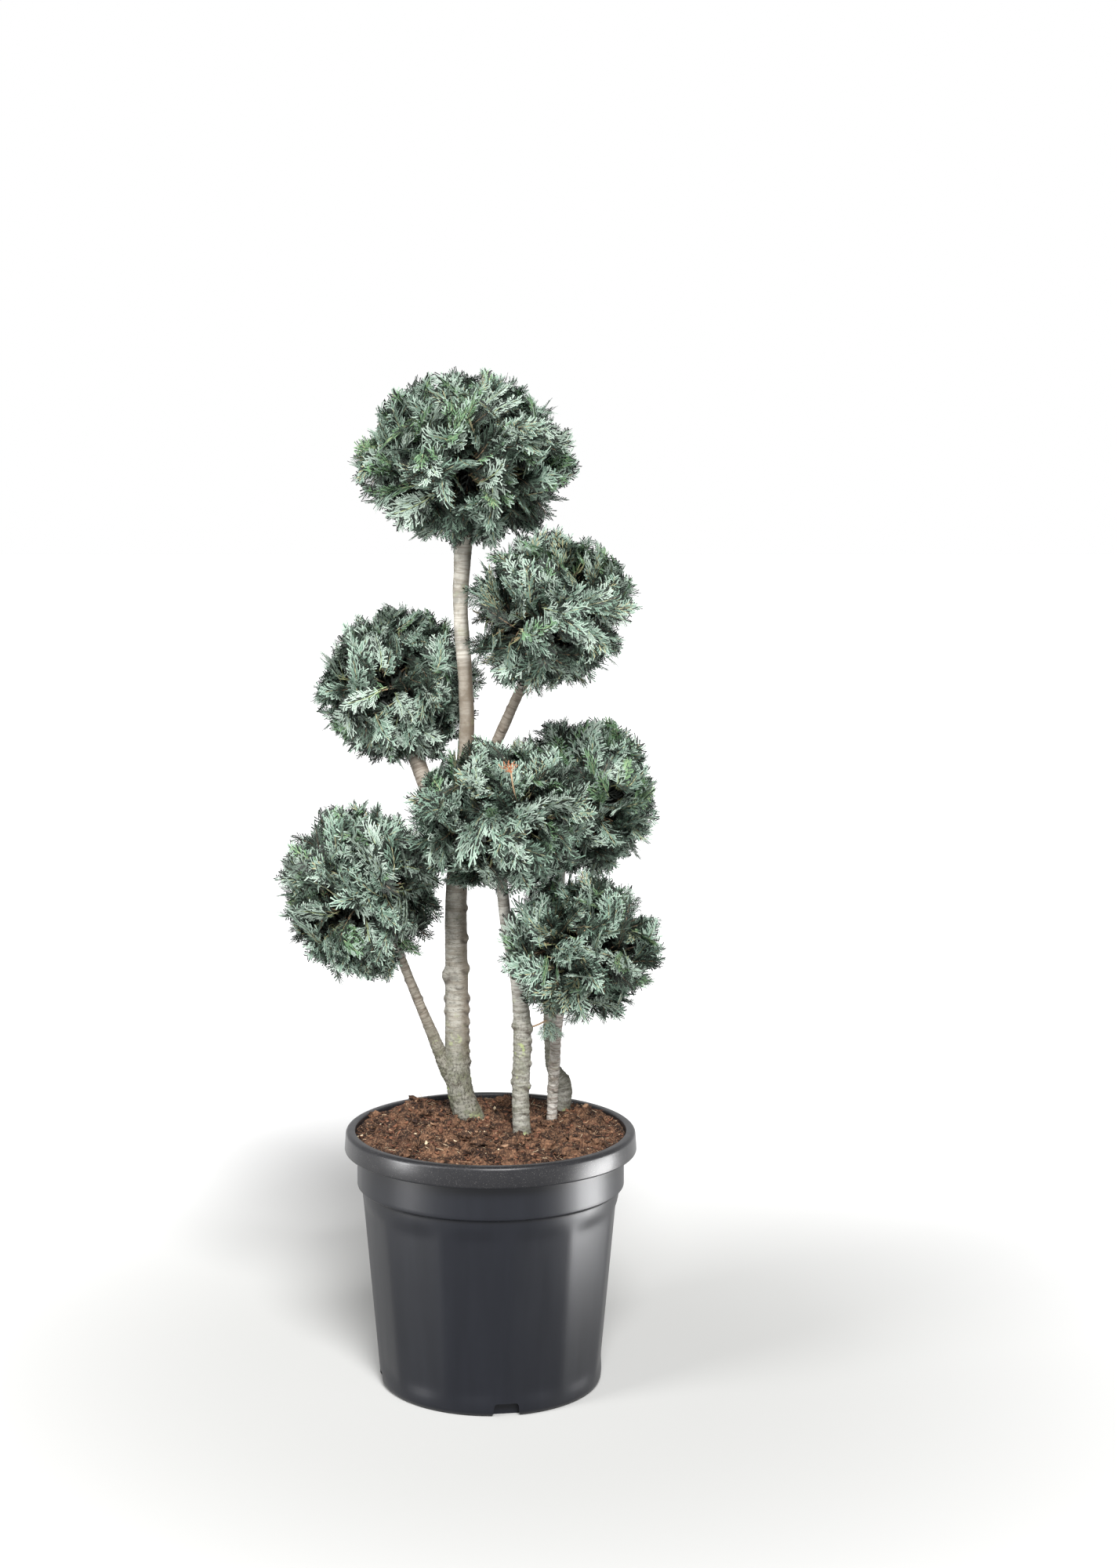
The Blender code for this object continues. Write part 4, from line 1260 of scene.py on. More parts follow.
# %% The balls
Ball = namedtuple("Ball", "carrier centre half_axes seed lumps hollows fork", defaults=[None])
Lump = namedtuple("Lump", "azimuth elevation width gain")
BALLS = {
    "ball_top": Ball(
        carrier="trunk_main",
        centre=(-0.032, 0.045, 1.124),
        half_axes=(0.133, 0.125, 0.108),
        seed=11,
        lumps=(Lump(180, 10, 30, 0.03), Lump(0, -20, 20, 0.03)),
        hollows=(Lump(-66, -29, 11, 0.52), Lump(-100, 5, 8, 0.45), Lump(-40, -5, 8, 0.39)),
        fork=(-0.082, 0.040, 1.062),
    ),
    "ball_upper_right": Ball(
        carrier="bough_upper_right",
        centre=(0.075, 0.005, 0.934),
        half_axes=(0.105, 0.098, 0.100),
        seed=12,
        lumps=(Lump(0, -40, 38, -0.22), Lump(-165, 5, 24, 0.14), Lump(0, 45, 30, 0.06)),
        hollows=(Lump(-105, 10, 10, 0.52), Lump(-60, -10, 10, 0.45)),
    ),
    "ball_upper_left": Ball(
        carrier="bough_upper_left",
        centre=(-0.119, 0.125, 0.8345),
        half_axes=(0.105, 0.098, 0.100),
        seed=13,
        lumps=(Lump(180, -35, 25, -0.08), Lump(0, 20, 25, 0.04)),
        hollows=(Lump(-60, 25, 10, 0.52), Lump(-95, -30, 8, 0.45)),
    ),
    "ball_centre": Ball(
        carrier="stem_middle",
        centre=(0.0125, -0.062, 0.695),
        half_axes=(0.111, 0.096, 0.093),
        seed=14,
        lumps=(Lump(0, 80, 25, 0.06), Lump(180, -60, 20, 0.06)),
        hollows=(Lump(-60, 12, 9, 0.45), Lump(-120, -5, 7, 0.35)),
    ),
    "ball_rear_right": Ball(
        carrier="stem_rear_right",
        centre=(0.114, 0.125, 0.693),
        half_axes=(0.101, 0.098, 0.101),
        seed=15,
        lumps=(Lump(180, 55, 20, 0.08), Lump(0, 45, 25, -0.05)),
        hollows=(Lump(-60, 20, 9, 0.33), Lump(-80, -20, 8, 0.39)),
    ),
    "ball_lower_left": Ball(
        carrier="bough_lower_left",
        centre=(-0.162, 0.030, 0.589),
        half_axes=(0.101, 0.098, 0.107),
        seed=16,
        lumps=(Lump(0, -22, 32, 0.13), Lump(180, -30, 22, -0.06)),
        hollows=(Lump(-70, -12, 11, 0.52), Lump(-110, 20, 8, 0.39)),
        fork=(-0.128, 0.000, 0.535),
    ),
    "ball_lower_right": Ball(
        carrier="stem_front_right",
        centre=(0.1095, -0.045, 0.535),
        half_axes=(0.099, 0.092, 0.089),
        seed=17,
        lumps=(Lump(180, -50, 16, 0.22), Lump(0, -35, 30, -0.10)),
        hollows=(Lump(-70, 5, 13, 0.55), Lump(-115, -15, 7, 0.39)),
    ),
}
print("balls:", ", ".join(BALLS))

# %% Directions and places in a ball
GOLDEN_TURN = math.pi * (3.0 - math.sqrt(5.0))
AREA_POWER = 1.6075
LIMB_CLEARANCE = 0.002
LIMB_TEST_STEP = 0.006
LIMB_POINTS = np.concatenate([smooth_route(limb.route, LIMB_TEST_STEP) for limb in LIMBS.values()])


def even_directions(count, rng):
    """Directions spread evenly over the sphere by the golden turn, each moved a little."""
    index = np.arange(count)
    height = 1.0 - 2.0 * (index + 0.5) / count
    width = np.sqrt(1.0 - height**2)
    turn = GOLDEN_TURN * index
    even = np.stack([width * np.cos(turn), width * np.sin(turn), height], axis=1)
    return unit(even + rng.uniform(-1.0, 1.0, (count, 3)) * 0.5 / math.sqrt(count))


def pointing(azimuth, elevation):
    """A direction from its angles in degrees: azimuth 0 to the right and -90 to the front."""
    a, e = math.radians(azimuth), math.radians(elevation)
    return np.array((math.cos(a) * math.cos(e), math.sin(a) * math.cos(e), math.sin(e)))


def lump_sum(directions, lumps):
    """How much a ball bulges in each direction: every lump fades out round its own direction."""
    total = np.zeros(len(directions))
    for lump in lumps:
        apart = np.arccos(np.clip(directions @ pointing(lump.azimuth, lump.elevation), -1.0, 1.0))
        total += lump.gain * np.exp(-((apart / math.radians(lump.width)) ** 2))
    return total


def in_ball(ball, directions, shares):
    """Places in a ball, in these directions, at these shares of its half axes."""
    offsets = directions * np.array(ball.half_axes)
    return np.array(ball.centre) + offsets * np.reshape(shares, (-1, 1))


def inside(ball, places, margin):
    """Which places lie in a ball whose half axes are multiplied by the margin."""
    offsets = (places - np.array(ball.centre)) / np.array(ball.half_axes)
    return np.sum(offsets**2, axis=-1) < margin**2


def clear_of_limbs(places):
    """Whether every one of a copy's places, of shape (copies, n, 3), keeps off the limbs."""
    near = np.linalg.norm(places[:, :, None] - LIMB_POINTS[None, None, :, :3], axis=-1)
    return np.all(near > LIMB_POINTS[:, 3] + LIMB_CLEARANCE, axis=(1, 2))


def surface_area(ball):
    """The area of a ball's surface, by a usual rule for an ellipsoid."""
    a, b, c = ball.half_axes
    mean = ((a * b) ** AREA_POWER + (a * c) ** AREA_POWER + (b * c) ** AREA_POWER) / 3.0
    return 4.0 * math.pi * mean ** (1.0 / AREA_POWER)


# %% Twigs as thin tubes
def tubes(heap, paths, radii, slot, sides=3):
    """Adds tapering tubes: paths of shape (twigs, points, 3) with a radius at each point."""
    along = unit(np.gradient(paths, axis=1))
    side = unit(np.cross(along, np.array((0.31, 0.83, 0.46))))
    back = np.cross(along, side)
    turns = math.tau * np.arange(sides) / sides
    ring = np.cos(turns)[:, None] * side[:, :, None] + np.sin(turns)[:, None] * back[:, :, None]
    corners = paths[:, :, None] + radii[:, :, None, None] * ring
    count = paths.shape[1]
    faces = []
    for i in range(count - 1):
        for j in range(sides):
            k = (j + 1) % sides
            low, high = i * sides, (i + 1) * sides
            faces += [(low + j, low + k, high + k), (low + j, high + k, high + j)]
    faces += [(0, j + 1, j) for j in range(1, sides - 1)]
    last = (count - 1) * sides
    faces += [(last, last + j, last + j + 1) for j in range(1, sides - 1)]
    heap.add(corners.reshape(len(paths), -1, 3), np.array(faces), slot)


def bent_paths(starts, middles, ends, count):
    """Curves from start to end that lean towards the middle."""
    t = np.linspace(0.0, 1.0, count)[None, :, None]
    return (1 - t) ** 2 * starts[:, None] + 2 * t * (1 - t) * middles[:, None] + t**2 * ends[:, None]


# %% [markdown]
# ### Stem, ribs and twigs
# The stem starts square on its limb's tip, just clear of it. Ribs leave it beyond its bend, and a
# twig leaves the nearest point of a rib or of the stem, and curves outwards. Growing the wood
# first gives every fan a twig to hang on, as on a real plant, so that none floats.

# %% Grow a ball's wood
GAP = 0.0003
TIP_STEP = 0.018
WOOD_STEP = 2.0 * RING_STEP
STEM_REACH = 0.80
STEM_TAPER = (1.0, 1.0, 0.92, 0.70, 0.40)
FORK_TAPER = (0.75, 0.82, 0.62, 0.40)
RIBS = 9
RIB_SPREAD = 0.42
RIB_RADIUS = 0.0026
RIB_STARTS = (0.0, 0.9)
RIB_SAG = 0.08
RIB_TAPER = (1.0, 0.55)
TWIG_DENSITY = 1250.0
TWIG_START = 0.30
TWIG_END = 0.70
TWIG_ENDS = (0.85, 1.08)
TWIG_SWAY = 0.004
TWIG_RADIUS = 0.0012
TWIG_TAPER = (1.3, 0.6)
TWIG_WIDTHS = (0.8, 1.2)
PATH_POINTS = 6


def carrier_tip(ball):
    points = smooth_route(LIMBS[ball.carrier].route, TIP_STEP)
    along, _, _ = route_frames(points)
    return points[-1, :3], along[-1], points[-1, 3]


def add_wood(name, ball_name, places, radii):
    """A smooth limb inside a ball, as a piece that stands for the ball's solid."""
    limb = Limb(np.column_stack([places, radii]), 0.0, 0.0, (), 0.0)
    add_piece(limb_mesh(name, limb, WOOD_STEP), [ball_name], [BARKS["stem"]])


def grow_wood(name, ball, rng, twigs):
    """Adds the stem as a piece and the twigs to a heap. Returns the twigs' directions and paths."""
    centre = np.array(ball.centre)
    tip, along, radius = carrier_tip(ball)
    start = tip + along * GAP
    bend = start + along * radius * 2.0
    head = bend + (centre - bend) * STEM_REACH
    stem = np.stack([start, start + along * radius, bend, 0.6 * bend + 0.4 * head, head])
    add_wood(f"{name}_stem", name, stem, radius * np.array(STEM_TAPER))
    if ball.fork:
        end = np.array(ball.fork)
        places = np.stack([start - along * radius, start + along * radius, 0.5 * (bend + end), end])
        add_wood(f"{name}_fork", name, places, radius * np.array(FORK_TAPER))
    rib_ends = in_ball(ball, even_directions(RIBS, rng), RIB_SPREAD)
    starts = stem[2] + (stem[4] - stem[2]) * rng.uniform(*RIB_STARTS, (RIBS, 1))
    middles = 0.5 * (starts + rib_ends) - RIB_SAG * (rib_ends - centre)
    ribs = bent_paths(starts, middles, rib_ends, PATH_POINTS)
    taper = np.linspace(*RIB_TAPER, PATH_POINTS)[None] * np.full((RIBS, 1), RIB_RADIUS)
    tubes(twigs, ribs, taper, TWIG_BROWN, sides=5)
    directions = even_directions(round(TWIG_DENSITY * surface_area(ball)), rng)
    holds = np.concatenate([ribs[:, 1:].reshape(-1, 3), stem[2:]])
    wanted = in_ball(ball, directions, TWIG_START)
    nearest = np.argmin(np.linalg.norm(wanted[:, None] - holds[None], axis=2), axis=1)
    ends = in_ball(ball, directions, TWIG_END * rng.uniform(*TWIG_ENDS, len(directions)))
    middles = 0.4 * holds[nearest] + 0.6 * wanted + rng.normal(0.0, TWIG_SWAY, ends.shape)
    paths = bent_paths(holds[nearest], middles, ends, PATH_POINTS)
    taper = np.linspace(*TWIG_TAPER, PATH_POINTS)[None] * TWIG_RADIUS
    taper = taper * rng.uniform(*TWIG_WIDTHS, (len(paths), 1))
    tubes(twigs, paths, taper, rng.integers(0, 2, (len(paths), 1)))
    return directions, paths


# %% [markdown]
# ### Fans on the twigs
# The tips come first: they are spread evenly over the clipped space, a little in or out. Each tip
# belongs to the twig that points nearest to it, its root lies on that twig, and it is drawn in
# towards the plane that the twig lies in. That gives a cover that grows in flat sprays, with dark
# slots between them. The inner fans are coarse, lie in all directions, and are painted nearly black
# as shade: they are what one sees through the slots.

# %% Turn and draw the fans
PLANE_ROLL = math.radians(55.0)
LEVEL_BELOW = 0.35
FLATTENING = 0.36
GATHERING = 0.10
DRIFT = 0.32
DRIFT_UPWARDS = 0.6
DROOP_BELOW = 0.25
DROOP_SPREAD = 0.45


def upright_planes(along, rng, spread):
    """Width directions of fans that mostly stand upright on edge."""
    up = np.array((0.0, 0.0, 1.0)) - along * along[:, 2:]
    level = np.cross(along, rng.normal(0.0, 1.0, along.shape))
    weight = np.linalg.norm(up, axis=1, keepdims=True)
    side = unit(np.where(weight > LEVEL_BELOW, up, level))
    return turned_about(side, along, rng.normal(0.0, spread, len(along)))


def drawn_to_planes(aims, centres, planes):
    """Directions moved towards the planes of their twigs, and a little towards the twigs."""
    normals = np.cross(centres, planes)
    offsets = aims - centres
    out = np.sum(offsets * normals, axis=1, keepdims=True) * normals
    return unit(aims - FLATTENING * out - GATHERING * (offsets - out))


def drifts(directions, rng):
    """A sideways push for each twig's fans: any way, but up on the upper half and down below."""
    pull = rng.normal(0.0, 1.0, directions.shape)
    rises = directions[:, 2] + rng.normal(DROOP_BELOW, DROOP_SPREAD, len(directions)) > 0.0
    pull[:, 2] += np.where(rises, DRIFT_UPWARDS, -DRIFT_UPWARDS)
    pull -= directions * np.sum(pull * directions, axis=1, keepdims=True)
    return DRIFT * unit(pull) * rng.uniform(0.5, 1.3, (len(directions), 1))


# %% Where the fans end, and how wide they lie
FAN_REACH = (0.82, 1.00)
WISP_SHARES = (0.14, 0.03)
WISP_REACH = (0.02, 0.08)
HOLLOW_PULL = 0.3
WAVE_SCALE = 3.1
SURFACE_WAVES = 0.030
LYING = (0.45, 0.40)
FAN_ROLL = math.radians(15.0)


def clipped_reach(ball, rng, aims, height, hollow):
    """How far out each fan ends, as a share of the ball's half axes. Wisps reach further."""
    places = [Vector(aim) * WAVE_SCALE + Vector((ball.seed, 0, 0)) for aim in aims]
    waves = np.array([noise.noise(place) for place in places])
    reach = FAN_REACH[0] + (FAN_REACH[1] - FAN_REACH[0]) * height
    low_share = np.clip(0.5 - aims[:, 2], 0.0, 1.0)
    wisp_share = WISP_SHARES[1] + (WISP_SHARES[0] - WISP_SHARES[1]) * low_share
    wisps = rng.uniform(0.0, 1.0, len(aims)) < wisp_share
    reach += wisps * rng.uniform(*WISP_REACH, len(aims))
    reach *= 1.0 + lump_sum(aims, ball.lumps) - HOLLOW_PULL * hollow
    return reach + 2.0 * SURFACE_WAVES * waves


def width_directions(rng, along, aims, planes, owner):
    """The width direction of each fan: from its twig's plane to lying flat on the ball."""
    side = planes[owner] - along * np.sum(planes[owner] * along, axis=1, keepdims=True)
    lying = unit(np.cross(along, aims))
    lying *= np.where(np.sum(lying * side, axis=1, keepdims=True) < 0.0, -1.0, 1.0)
    share = np.clip(rng.normal(*LYING, (len(planes), 1)), 0.0, 1.0)[owner]
    across = unit((1.0 - share) * unit(side) + share * lying)
    across = unit(across - along * np.sum(across * along, axis=1, keepdims=True))
    return turned_about(across, along, rng.normal(0.0, FAN_ROLL, len(along)))


# %% Lay out a ball's fans
Layout = namedtuple("Layout", "roots along across sizes tones kinds bends")
FAN_DENSITY = 5700.0
OWNER_SLACK = 0.02
FAN_ROOT = (0.55, 1.00)
FAN_SIZES = (0.55, 0.90)
FAN_LEAN = 1.6
FAN_BEND = 3.0
TWIG_BEND = 7.0
RECESSED_SHADE_BELOW = (0.08, 0.58)
TONES_SHARED = 0.65
INNER_DENSITY = 2200.0
INNER_REACH = (0.20, 0.58)
INNER_SIZES = (0.7, 1.1)


def lay_out_fans(ball, rng, directions, paths):
    """Where each outer fan goes: from its root on a twig out to the clipped space."""
    count = round(FAN_DENSITY * surface_area(ball))
    planes = upright_planes(directions, rng, PLANE_ROLL)
    aims = even_directions(count, rng)
    slack = rng.uniform(0.0, OWNER_SLACK, (count, len(directions)))
    owner = np.argmax(aims @ directions.T + slack, axis=1)
    push = drifts(directions, rng)[owner]
    aims = unit(drawn_to_planes(aims, directions[owner], planes[owner]) + push)
    hollow = lump_sum(aims, ball.hollows)
    height = rng.uniform(0.0, 1.0, count)
    tips = in_ball(ball, aims, clipped_reach(ball, rng, aims, height, hollow))
    step = rng.uniform(*FAN_ROOT, count) * (paths.shape[1] - 1)
    low = np.minimum(step.astype(int), paths.shape[1] - 2)
    rest = (step - low)[:, None]
    roots = paths[owner, low] * (1 - rest) + paths[owner, low + 1] * rest
    along = unit(unit(tips - roots) + FAN_LEAN * push)
    sizes = np.clip(np.linalg.norm(tips - roots, axis=1) / FAN_LENGTH, *FAN_SIZES)
    across = width_directions(rng, along, aims, planes, owner)
    bends = rng.normal(0.0, TWIG_BEND, len(directions))[owner] + rng.normal(0.0, FAN_BEND, count)
    shared = rng.uniform(0.0, 1.0, count) < TONES_SHARED
    tones = np.where(shared, deal_tones(directions, rng)[owner], deal_tones(aims, rng))
    # Painted shade: fans that end deeper in the ball get the darkest tone.
    tones[height < rng.uniform(*RECESSED_SHADE_BELOW, count)] = TONE_INDEX["recessed_shade"]
    starts = tips - along * (sizes * FAN_LENGTH)[:, None]
    layout = Layout(starts, along, across, sizes, tones, rng.integers(0, len(FANS), count), bends)
    keep = rng.uniform(0.0, 1.0, count) > hollow
    return Layout(*(part[keep] for part in layout)), paths[owner, low][keep]


def lay_out_inner_fans(ball, rng):
    """Coarse fans in the middle of the ball, lying in all directions, in the painted shade tone."""
    count = round(INNER_DENSITY * surface_area(ball))
    middles = in_ball(ball, even_directions(count, rng), rng.uniform(*INNER_REACH, count))
    along = unit(rng.normal(0.0, 1.0, (count, 3)))
    across = unit(np.cross(along, rng.normal(0.0, 1.0, (count, 3))))
    sizes = rng.uniform(*INNER_SIZES, count)
    starts = middles - 0.5 * along * (sizes * FAN_LENGTH)[:, None]
    tones = np.full(count, TONE_INDEX["shade"])
    kinds = rng.integers(0, len(INNER_FANS), count)
    return Layout(starts, along, across, sizes, tones, kinds, rng.normal(0.0, TWIG_BEND, count))


def deal_tones(directions, rng):
    """A tone for each direction: greener, and lighter as a painted light from above, the more it points
    up.
    """
    # Painted light from above: fans that point up draw lighter tones.
    light = np.clip(0.5 + 0.7 * directions[:, 2], 0.0, 1.0)[:, None]
    shares = LOW_SHARES * (1.0 - light) + HIGH_SHARES * light
    drawn = rng.uniform(0.0, 1.0, (len(directions), 1))
    return np.minimum(np.sum(np.cumsum(shares, axis=1) < drawn, axis=1), len(shares[0]) - 1)


# %% Bend the fans and drop those that touch
FAN_CUP = 8.0
FAN_SWEEP = 3.0
SPACE_MARGIN = 1.11
INNER_MARGIN = 0.82
TEST_CORNERS = 14


def fan_corners(fan, layout, rows, rng):
    """Corners of the fans in these rows, each bent along its length and cupped across it."""
    count = int(np.sum(rows))
    corners = np.repeat(fan.corners[None], count, axis=0)
    x, y = corners[:, :, 0], corners[:, :, 1]
    bend = layout.bends[rows][:, None]
    cup = rng.normal(0.0, FAN_CUP, (count, 1))
    sweep = rng.normal(0.0, FAN_SWEEP, (count, 1))
    corners[:, :, 2] += bend * x * x + cup * y * y
    corners[:, :, 1] += sweep * x * x
    frames = np.stack([layout.along, layout.across, np.cross(layout.along, layout.across)], axis=1)
    sized = corners * layout.sizes[rows][:, None, None]
    return layout.roots[rows][:, None] + sized @ frames[rows]


def fan_slots(fan, tones, rng):
    """The material slot of each triangle: both triangles of a blade share one."""
    count = len(tones)
    # Some fingers and tips get the tone's last colour, mostly a painted shade for their dark sides and
    # the slots between them.
    blades = rng.uniform(0.0, 1.0, (count, len(fan.faces) // 2)) < SHADED_FINGER_SHARE
    other = np.repeat(blades, 2, axis=1) & (fan.parts >= FINGER)
    return np.take_along_axis(TONE_TABLE[tones], np.where(other, SHADED_FINGER, fan.parts[None]), axis=1)


def add_fans(heap, ball, others, layout, patterns, margin, rng):
    """Adds the fans that stay in their own space and off the limbs, and returns which did."""
    kept = np.zeros(len(layout.roots), bool)
    for kind, fan in enumerate(patterns):
        rows = layout.kinds == kind
        corners = fan_corners(fan, layout, rows, rng)
        tests = corners[:, :: max(1, len(fan.corners) // TEST_CORNERS)]
        fits = np.all(inside(ball, corners, margin), axis=1) & clear_of_limbs(tests)
        for other in others:
            fits &= ~np.any(inside(other, tests, 1.0), axis=1)
        heap.add(corners[fits], fan.faces, fan_slots(fan, layout.tones[rows][fits], rng))
        kept[np.flatnonzero(rows)[fits]] = True
    return kept


# %% [markdown]
# ### All seven balls
# Each ball is its stem, one mesh of fans and one of twigs, and two balls have a forked stem. The
# mesh of twigs comes last, because a stalk leads to each fan that was kept.

# %% Grow the balls
STALK_RADII = (0.0008, 0.0007, 0.0005)
STALK_OVERLAP = 0.10 * FAN_LENGTH
STALK_BEND = 0.0015


def add_stalks(heap, holds, layout, kept, rng):
    """A short stalk from the twig to each fan that was kept."""
    starts, ends = holds[kept], layout.roots[kept] + STALK_OVERLAP * layout.along[kept]
    middles = 0.5 * (starts + ends) + rng.normal(0.0, STALK_BEND, starts.shape)
    paths = bent_paths(starts, middles, ends, len(STALK_RADII))
    tubes(heap, paths, np.tile(STALK_RADII, (len(paths), 1)), TWIG_GREEN)


def grow_ball(name, ball):
    """Grows the wood, hangs the outer fans on it, sets the inner fans among them, and adds the pieces.
    """
    rng = np.random.default_rng(ball.seed)
    others = [other for other in BALLS.values() if other is not ball]
    twigs, leaves = Heap(), Heap()
    directions, paths = grow_wood(name, ball, rng, twigs)
    layout, holds = lay_out_fans(ball, rng, directions, paths)
    kept = add_fans(leaves, ball, others, layout, FANS, SPACE_MARGIN, rng)
    add_stalks(twigs, holds, layout, kept, rng)
    dark = lay_out_inner_fans(ball, rng)
    inner = add_fans(leaves, ball, others, dark, INNER_FANS, INNER_MARGIN, rng)
    print(f"{name}: {int(kept.sum())} of {len(kept)} fans, {int(inner.sum())} inner fans")
    add_piece(leaves.mesh(f"{name}_fans"), [name], LEAVES)
    add_piece(twigs.mesh(f"{name}_twigs"), [name], TWIGS)


for ball_name, ball in BALLS.items():
    grow_ball(ball_name, ball)

# %% [markdown]
# ### Two lone sprays
# At the front of the middle ball one spray has died. It stands on a long bare twig, and has
# turned orange-brown. Lower down, a short side shoot of the middle stem has stayed green. Both are
# made as a ball's fans are, from a twig and a few fans, but each is placed one by one.

# %% Add the lone sprays
LONE_SEED = 3
LoneSpray = namedtuple("LoneSpray", "node twig lean facing size turns tone")
LONE_SPRAYS = {
    "ball_centre_dead": LoneSpray(
        node="ball_centre",
        twig=((0.036, -0.110, 0.706), (0.027, -0.140, 0.730), (0.024, -0.150, 0.757)),
        lean=(-0.15, -0.45, 1.0),
        facing=(0.0, -1.0, 0.2),
        size=0.32,
        turns=(-32.0, -10.0, 9.0, 30.0),
        tone="dead",
    ),
    "stem_middle_shoot": LoneSpray(
        node="stem_middle",
        twig=((0.0440, -0.028, 0.433), (0.0560, -0.032, 0.436), (0.0680, -0.030, 0.443)),
        lean=(0.05, -0.10, -1.0),
        facing=(0.0, -1.0, 0.1),
        size=0.44,
        turns=(-34.0, -8.0, 22.0),
        tone="blue",
    ),
}


def add_lone_spray(name, lone, fan):
    """Adds a twig, and a few copies of a fan at its tip, each turned in the spray's plane."""
    rng = np.random.default_rng(LONE_SEED)
    twig, spray = Heap(), Heap()
    path = bent_paths(*(np.array([place]) for place in lone.twig), PATH_POINTS)
    tubes(twig, path, np.full((1, PATH_POINTS), TWIG_RADIUS), TWIG_TAN)
    along = unit(np.array([lone.lean]))
    across = unit(np.cross(along, np.array([lone.facing])))
    for turn in lone.turns:
        turned = turned_about(along, np.cross(along, across), np.array([math.radians(turn)]))
        places = placed(fan, path[:, -1], turned, across, np.array([lone.size]))
        spray.add(places, fan.faces, fan_slots(fan, np.array([TONE_INDEX[lone.tone]]), rng))
    add_piece(spray.mesh(f"{name}_fan"), [lone.node], LEAVES)
    add_piece(twig.mesh(f"{name}_twig"), [lone.node], TWIGS)


dead_fan = fan_pattern(31, shoots=3, widen=2.0, fingered=False)
add_lone_spray("ball_centre_dead", LONE_SPRAYS["ball_centre_dead"], dead_fan)
add_lone_spray("stem_middle_shoot", LONE_SPRAYS["stem_middle_shoot"], FANS[1])

# %% [markdown]
# ## Floor, light and camera
# The studio is plain: a pale floor and a white surround. The surround is white to look at, but it
# lights the plant only dimly, so that the gaps in the foliage stay dark. Most of the light comes
# from a soft sun high in front, and some from a lamp on the left. Two strips draw the round of the
# pot: light linking shows them to the pot alone, and only in its shine. The camera stands level,
# and its shift frames the plant, so that upright lines stay upright.

# %% The lamps' sizes
FLOOR_SIZE = 60.0
FLOOR_GREY_REACH = 0.25
FLOOR_WHITE_REACH = 1.7
FLOOR_GREY = (0.50, 0.50, 0.49)
FLOOR_WHITE = (0.97, 0.97, 0.97)
SURROUND_LIGHT = 0.15
SURROUND_SHEEN = 0.85
Lamp = namedtuple("Lamp", "name place aim size_x size_y watts")
LEFT_LAMP = Lamp("left_lamp", (-2.4, -1.8, 2.2), (0.0, 0.0, 0.7), 1.2, 1.6, 75.0)
POT_STRIPS = (
    Lamp("left_strip", (-1.5, -0.6, 0.40), (0.0, 0.0, 0.15), 0.25, 0.8, 40.0),
    Lamp("right_strip", (0.56, -0.10, 0.13), (0.0, -0.10, 0.13), 0.30, 0.24, 7.0),
)
KEY_PLACE = (0.35, -2.3, 2.7)
KEY_AIM = (0.0, 0.0, 0.6)
KEY_STRENGTH = 5.7
KEY_SOFTNESS = math.radians(24.0)


def aimed(obj, aim):
    direction = Vector(aim) - obj.location
    obj.rotation_euler = direction.to_track_quat("-Z", "Y").to_euler()


def add_lamp(lamp):
    light = bpy.data.lights.new(lamp.name, "AREA")
    light.shape = "RECTANGLE"
    light.size = lamp.size_x
    light.size_y = lamp.size_y
    light.energy = lamp.watts
    obj = linked(lamp.name, light)
    obj.location = lamp.place
    obj.visible_camera = False
    aimed(obj, lamp.aim)
    return obj


# %% The floor and the surround
def floor_paint():
    """Pale grey round the pot, and white further out, so that no horizon shows."""
    finish = Finish("floor_paint", {"Roughness": 0.8})
    places = {0: finish.coordinates()}
    away = finish.node("ShaderNodeVectorMath", {"operation": "LENGTH"}, places, output="Value")
    share = finish.between(away, FLOOR_GREY_REACH, FLOOR_WHITE_REACH)
    finish.feed("Base Color", finish.mixed(share, FLOOR_GREY, FLOOR_WHITE))
    return finish


def add_floor():
    bm = bmesh.new()
    bmesh.ops.create_grid(bm, x_segments=1, y_segments=1, size=FLOOR_SIZE / 2.0)
    floor = linked("floor", mesh_of(bm, "floor"))
    floor.data.materials.append(floor_paint().material)


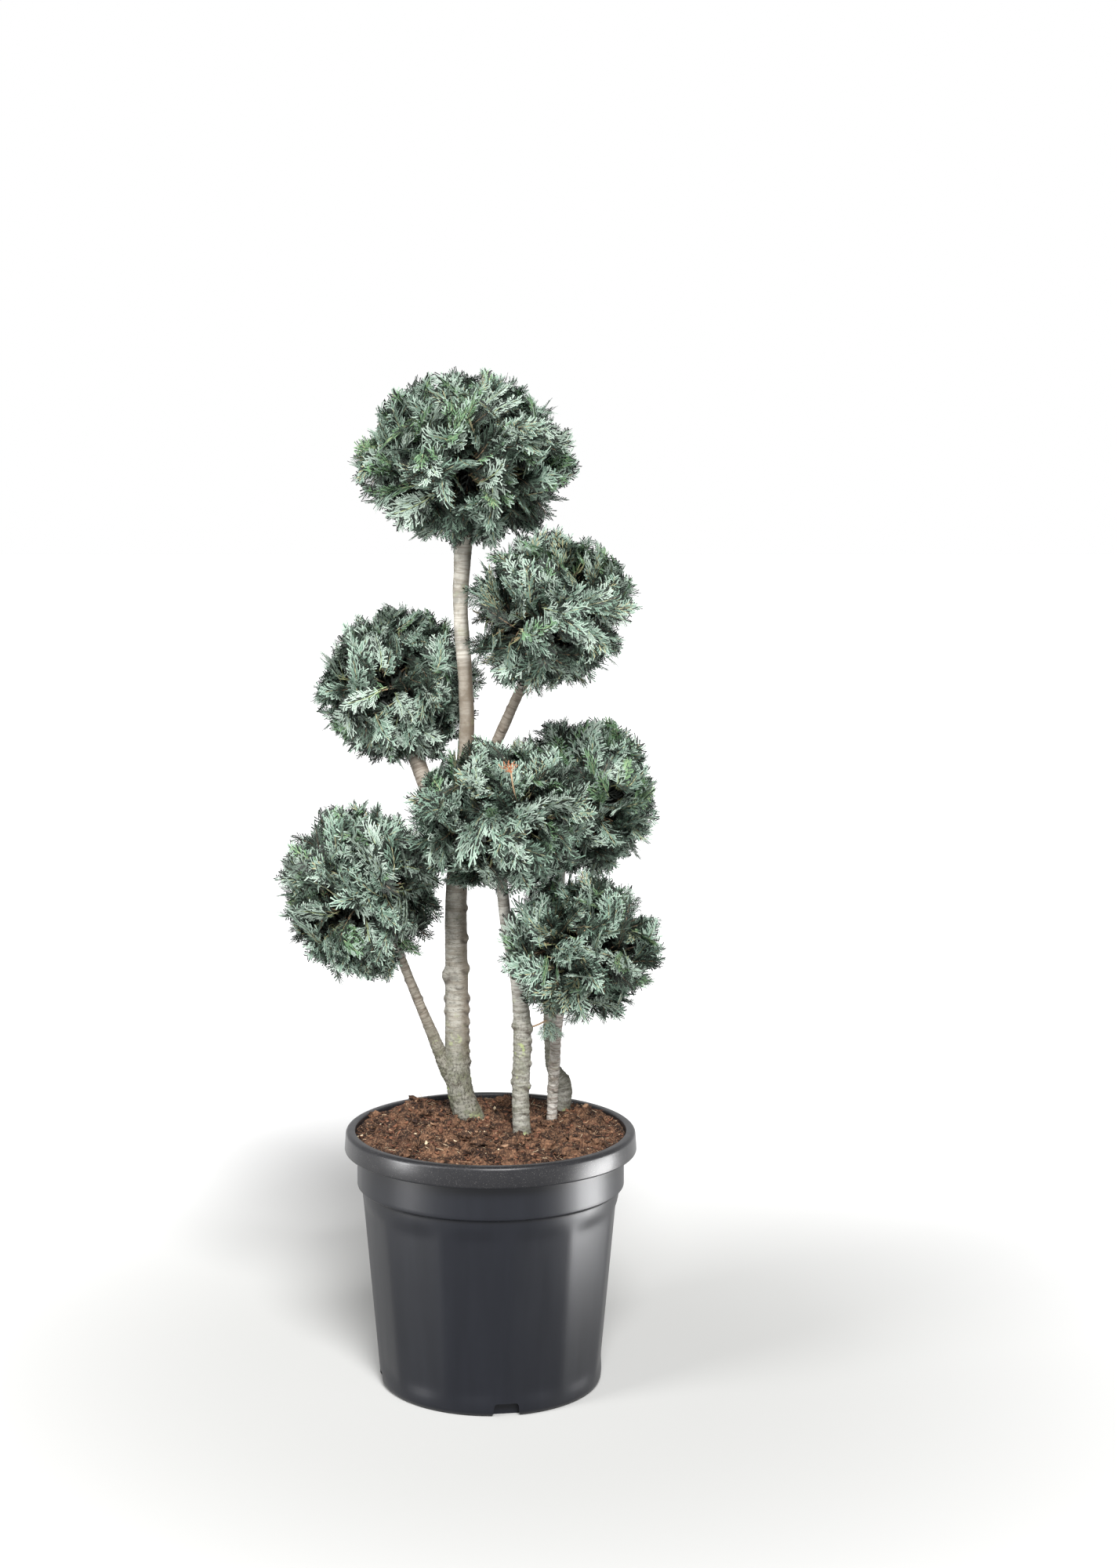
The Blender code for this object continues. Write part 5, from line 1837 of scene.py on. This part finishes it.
def add_surround():
    world = bpy.data.worlds.new("surround")
    bpy.context.scene.world = world
    world.use_nodes = True
    tree = world.node_tree
    background = tree.nodes["Background"]
    background.inputs["Color"].default_value = (1.0, 1.0, 1.0, 1.0)
    background.inputs["Strength"].default_value = SURROUND_LIGHT
    rays = tree.nodes.new("ShaderNodeLightPath").outputs
    sheen, seen = [tree.nodes.new("ShaderNodeMapRange") for _ in range(2)]
    sheen.inputs["To Min"].default_value = SURROUND_LIGHT
    sheen.inputs["To Max"].default_value = SURROUND_SHEEN
    tree.links.new(rays["Is Glossy Ray"], sheen.inputs["Value"])
    tree.links.new(sheen.outputs["Result"], seen.inputs["To Min"])
    tree.links.new(rays["Is Camera Ray"], seen.inputs["Value"])
    tree.links.new(seen.outputs["Result"], background.inputs["Strength"])


# %% Light the plant
def add_key_light():
    light = bpy.data.lights.new("key_light", "SUN")
    light.energy = KEY_STRENGTH
    light.angle = KEY_SOFTNESS
    obj = linked("key_light", light)
    obj.location = KEY_PLACE
    aimed(obj, KEY_AIM)


def add_pot_strips():
    """Strips that only the pot sees, and only in its reflections."""
    glossy = bpy.data.collections.new("glossy")
    glossy.objects.link(pot)
    for strip in POT_STRIPS:
        obj = add_lamp(strip)
        obj.visible_diffuse = False
        obj.light_linking.receiver_collection = glossy


add_lamp(LEFT_LAMP)
add_pot_strips()
add_key_light()
add_floor()
add_surround()
bpy.context.scene.view_settings.view_transform = "Standard"
print("lamps:", LEFT_LAMP.name, *(strip.name for strip in POT_STRIPS), "key_light")

# %% The camera
CAMERA_PLACE = (0.0, -3.046, 1.108)
CAMERA_LENS = 57.04
CAMERA_SHIFT = (0.0433, -0.1988)
CAMERA_LEVEL = math.radians(90.0)


def add_camera():
    camera = bpy.data.cameras.new("camera")
    camera.lens = CAMERA_LENS
    camera.shift_x, camera.shift_y = CAMERA_SHIFT
    obj = linked("camera", camera)
    obj.location = CAMERA_PLACE
    obj.rotation_euler = (CAMERA_LEVEL, 0.0, 0.0)
    bpy.context.scene.camera = obj


add_camera()
print("the camera stands at", CAMERA_PLACE)
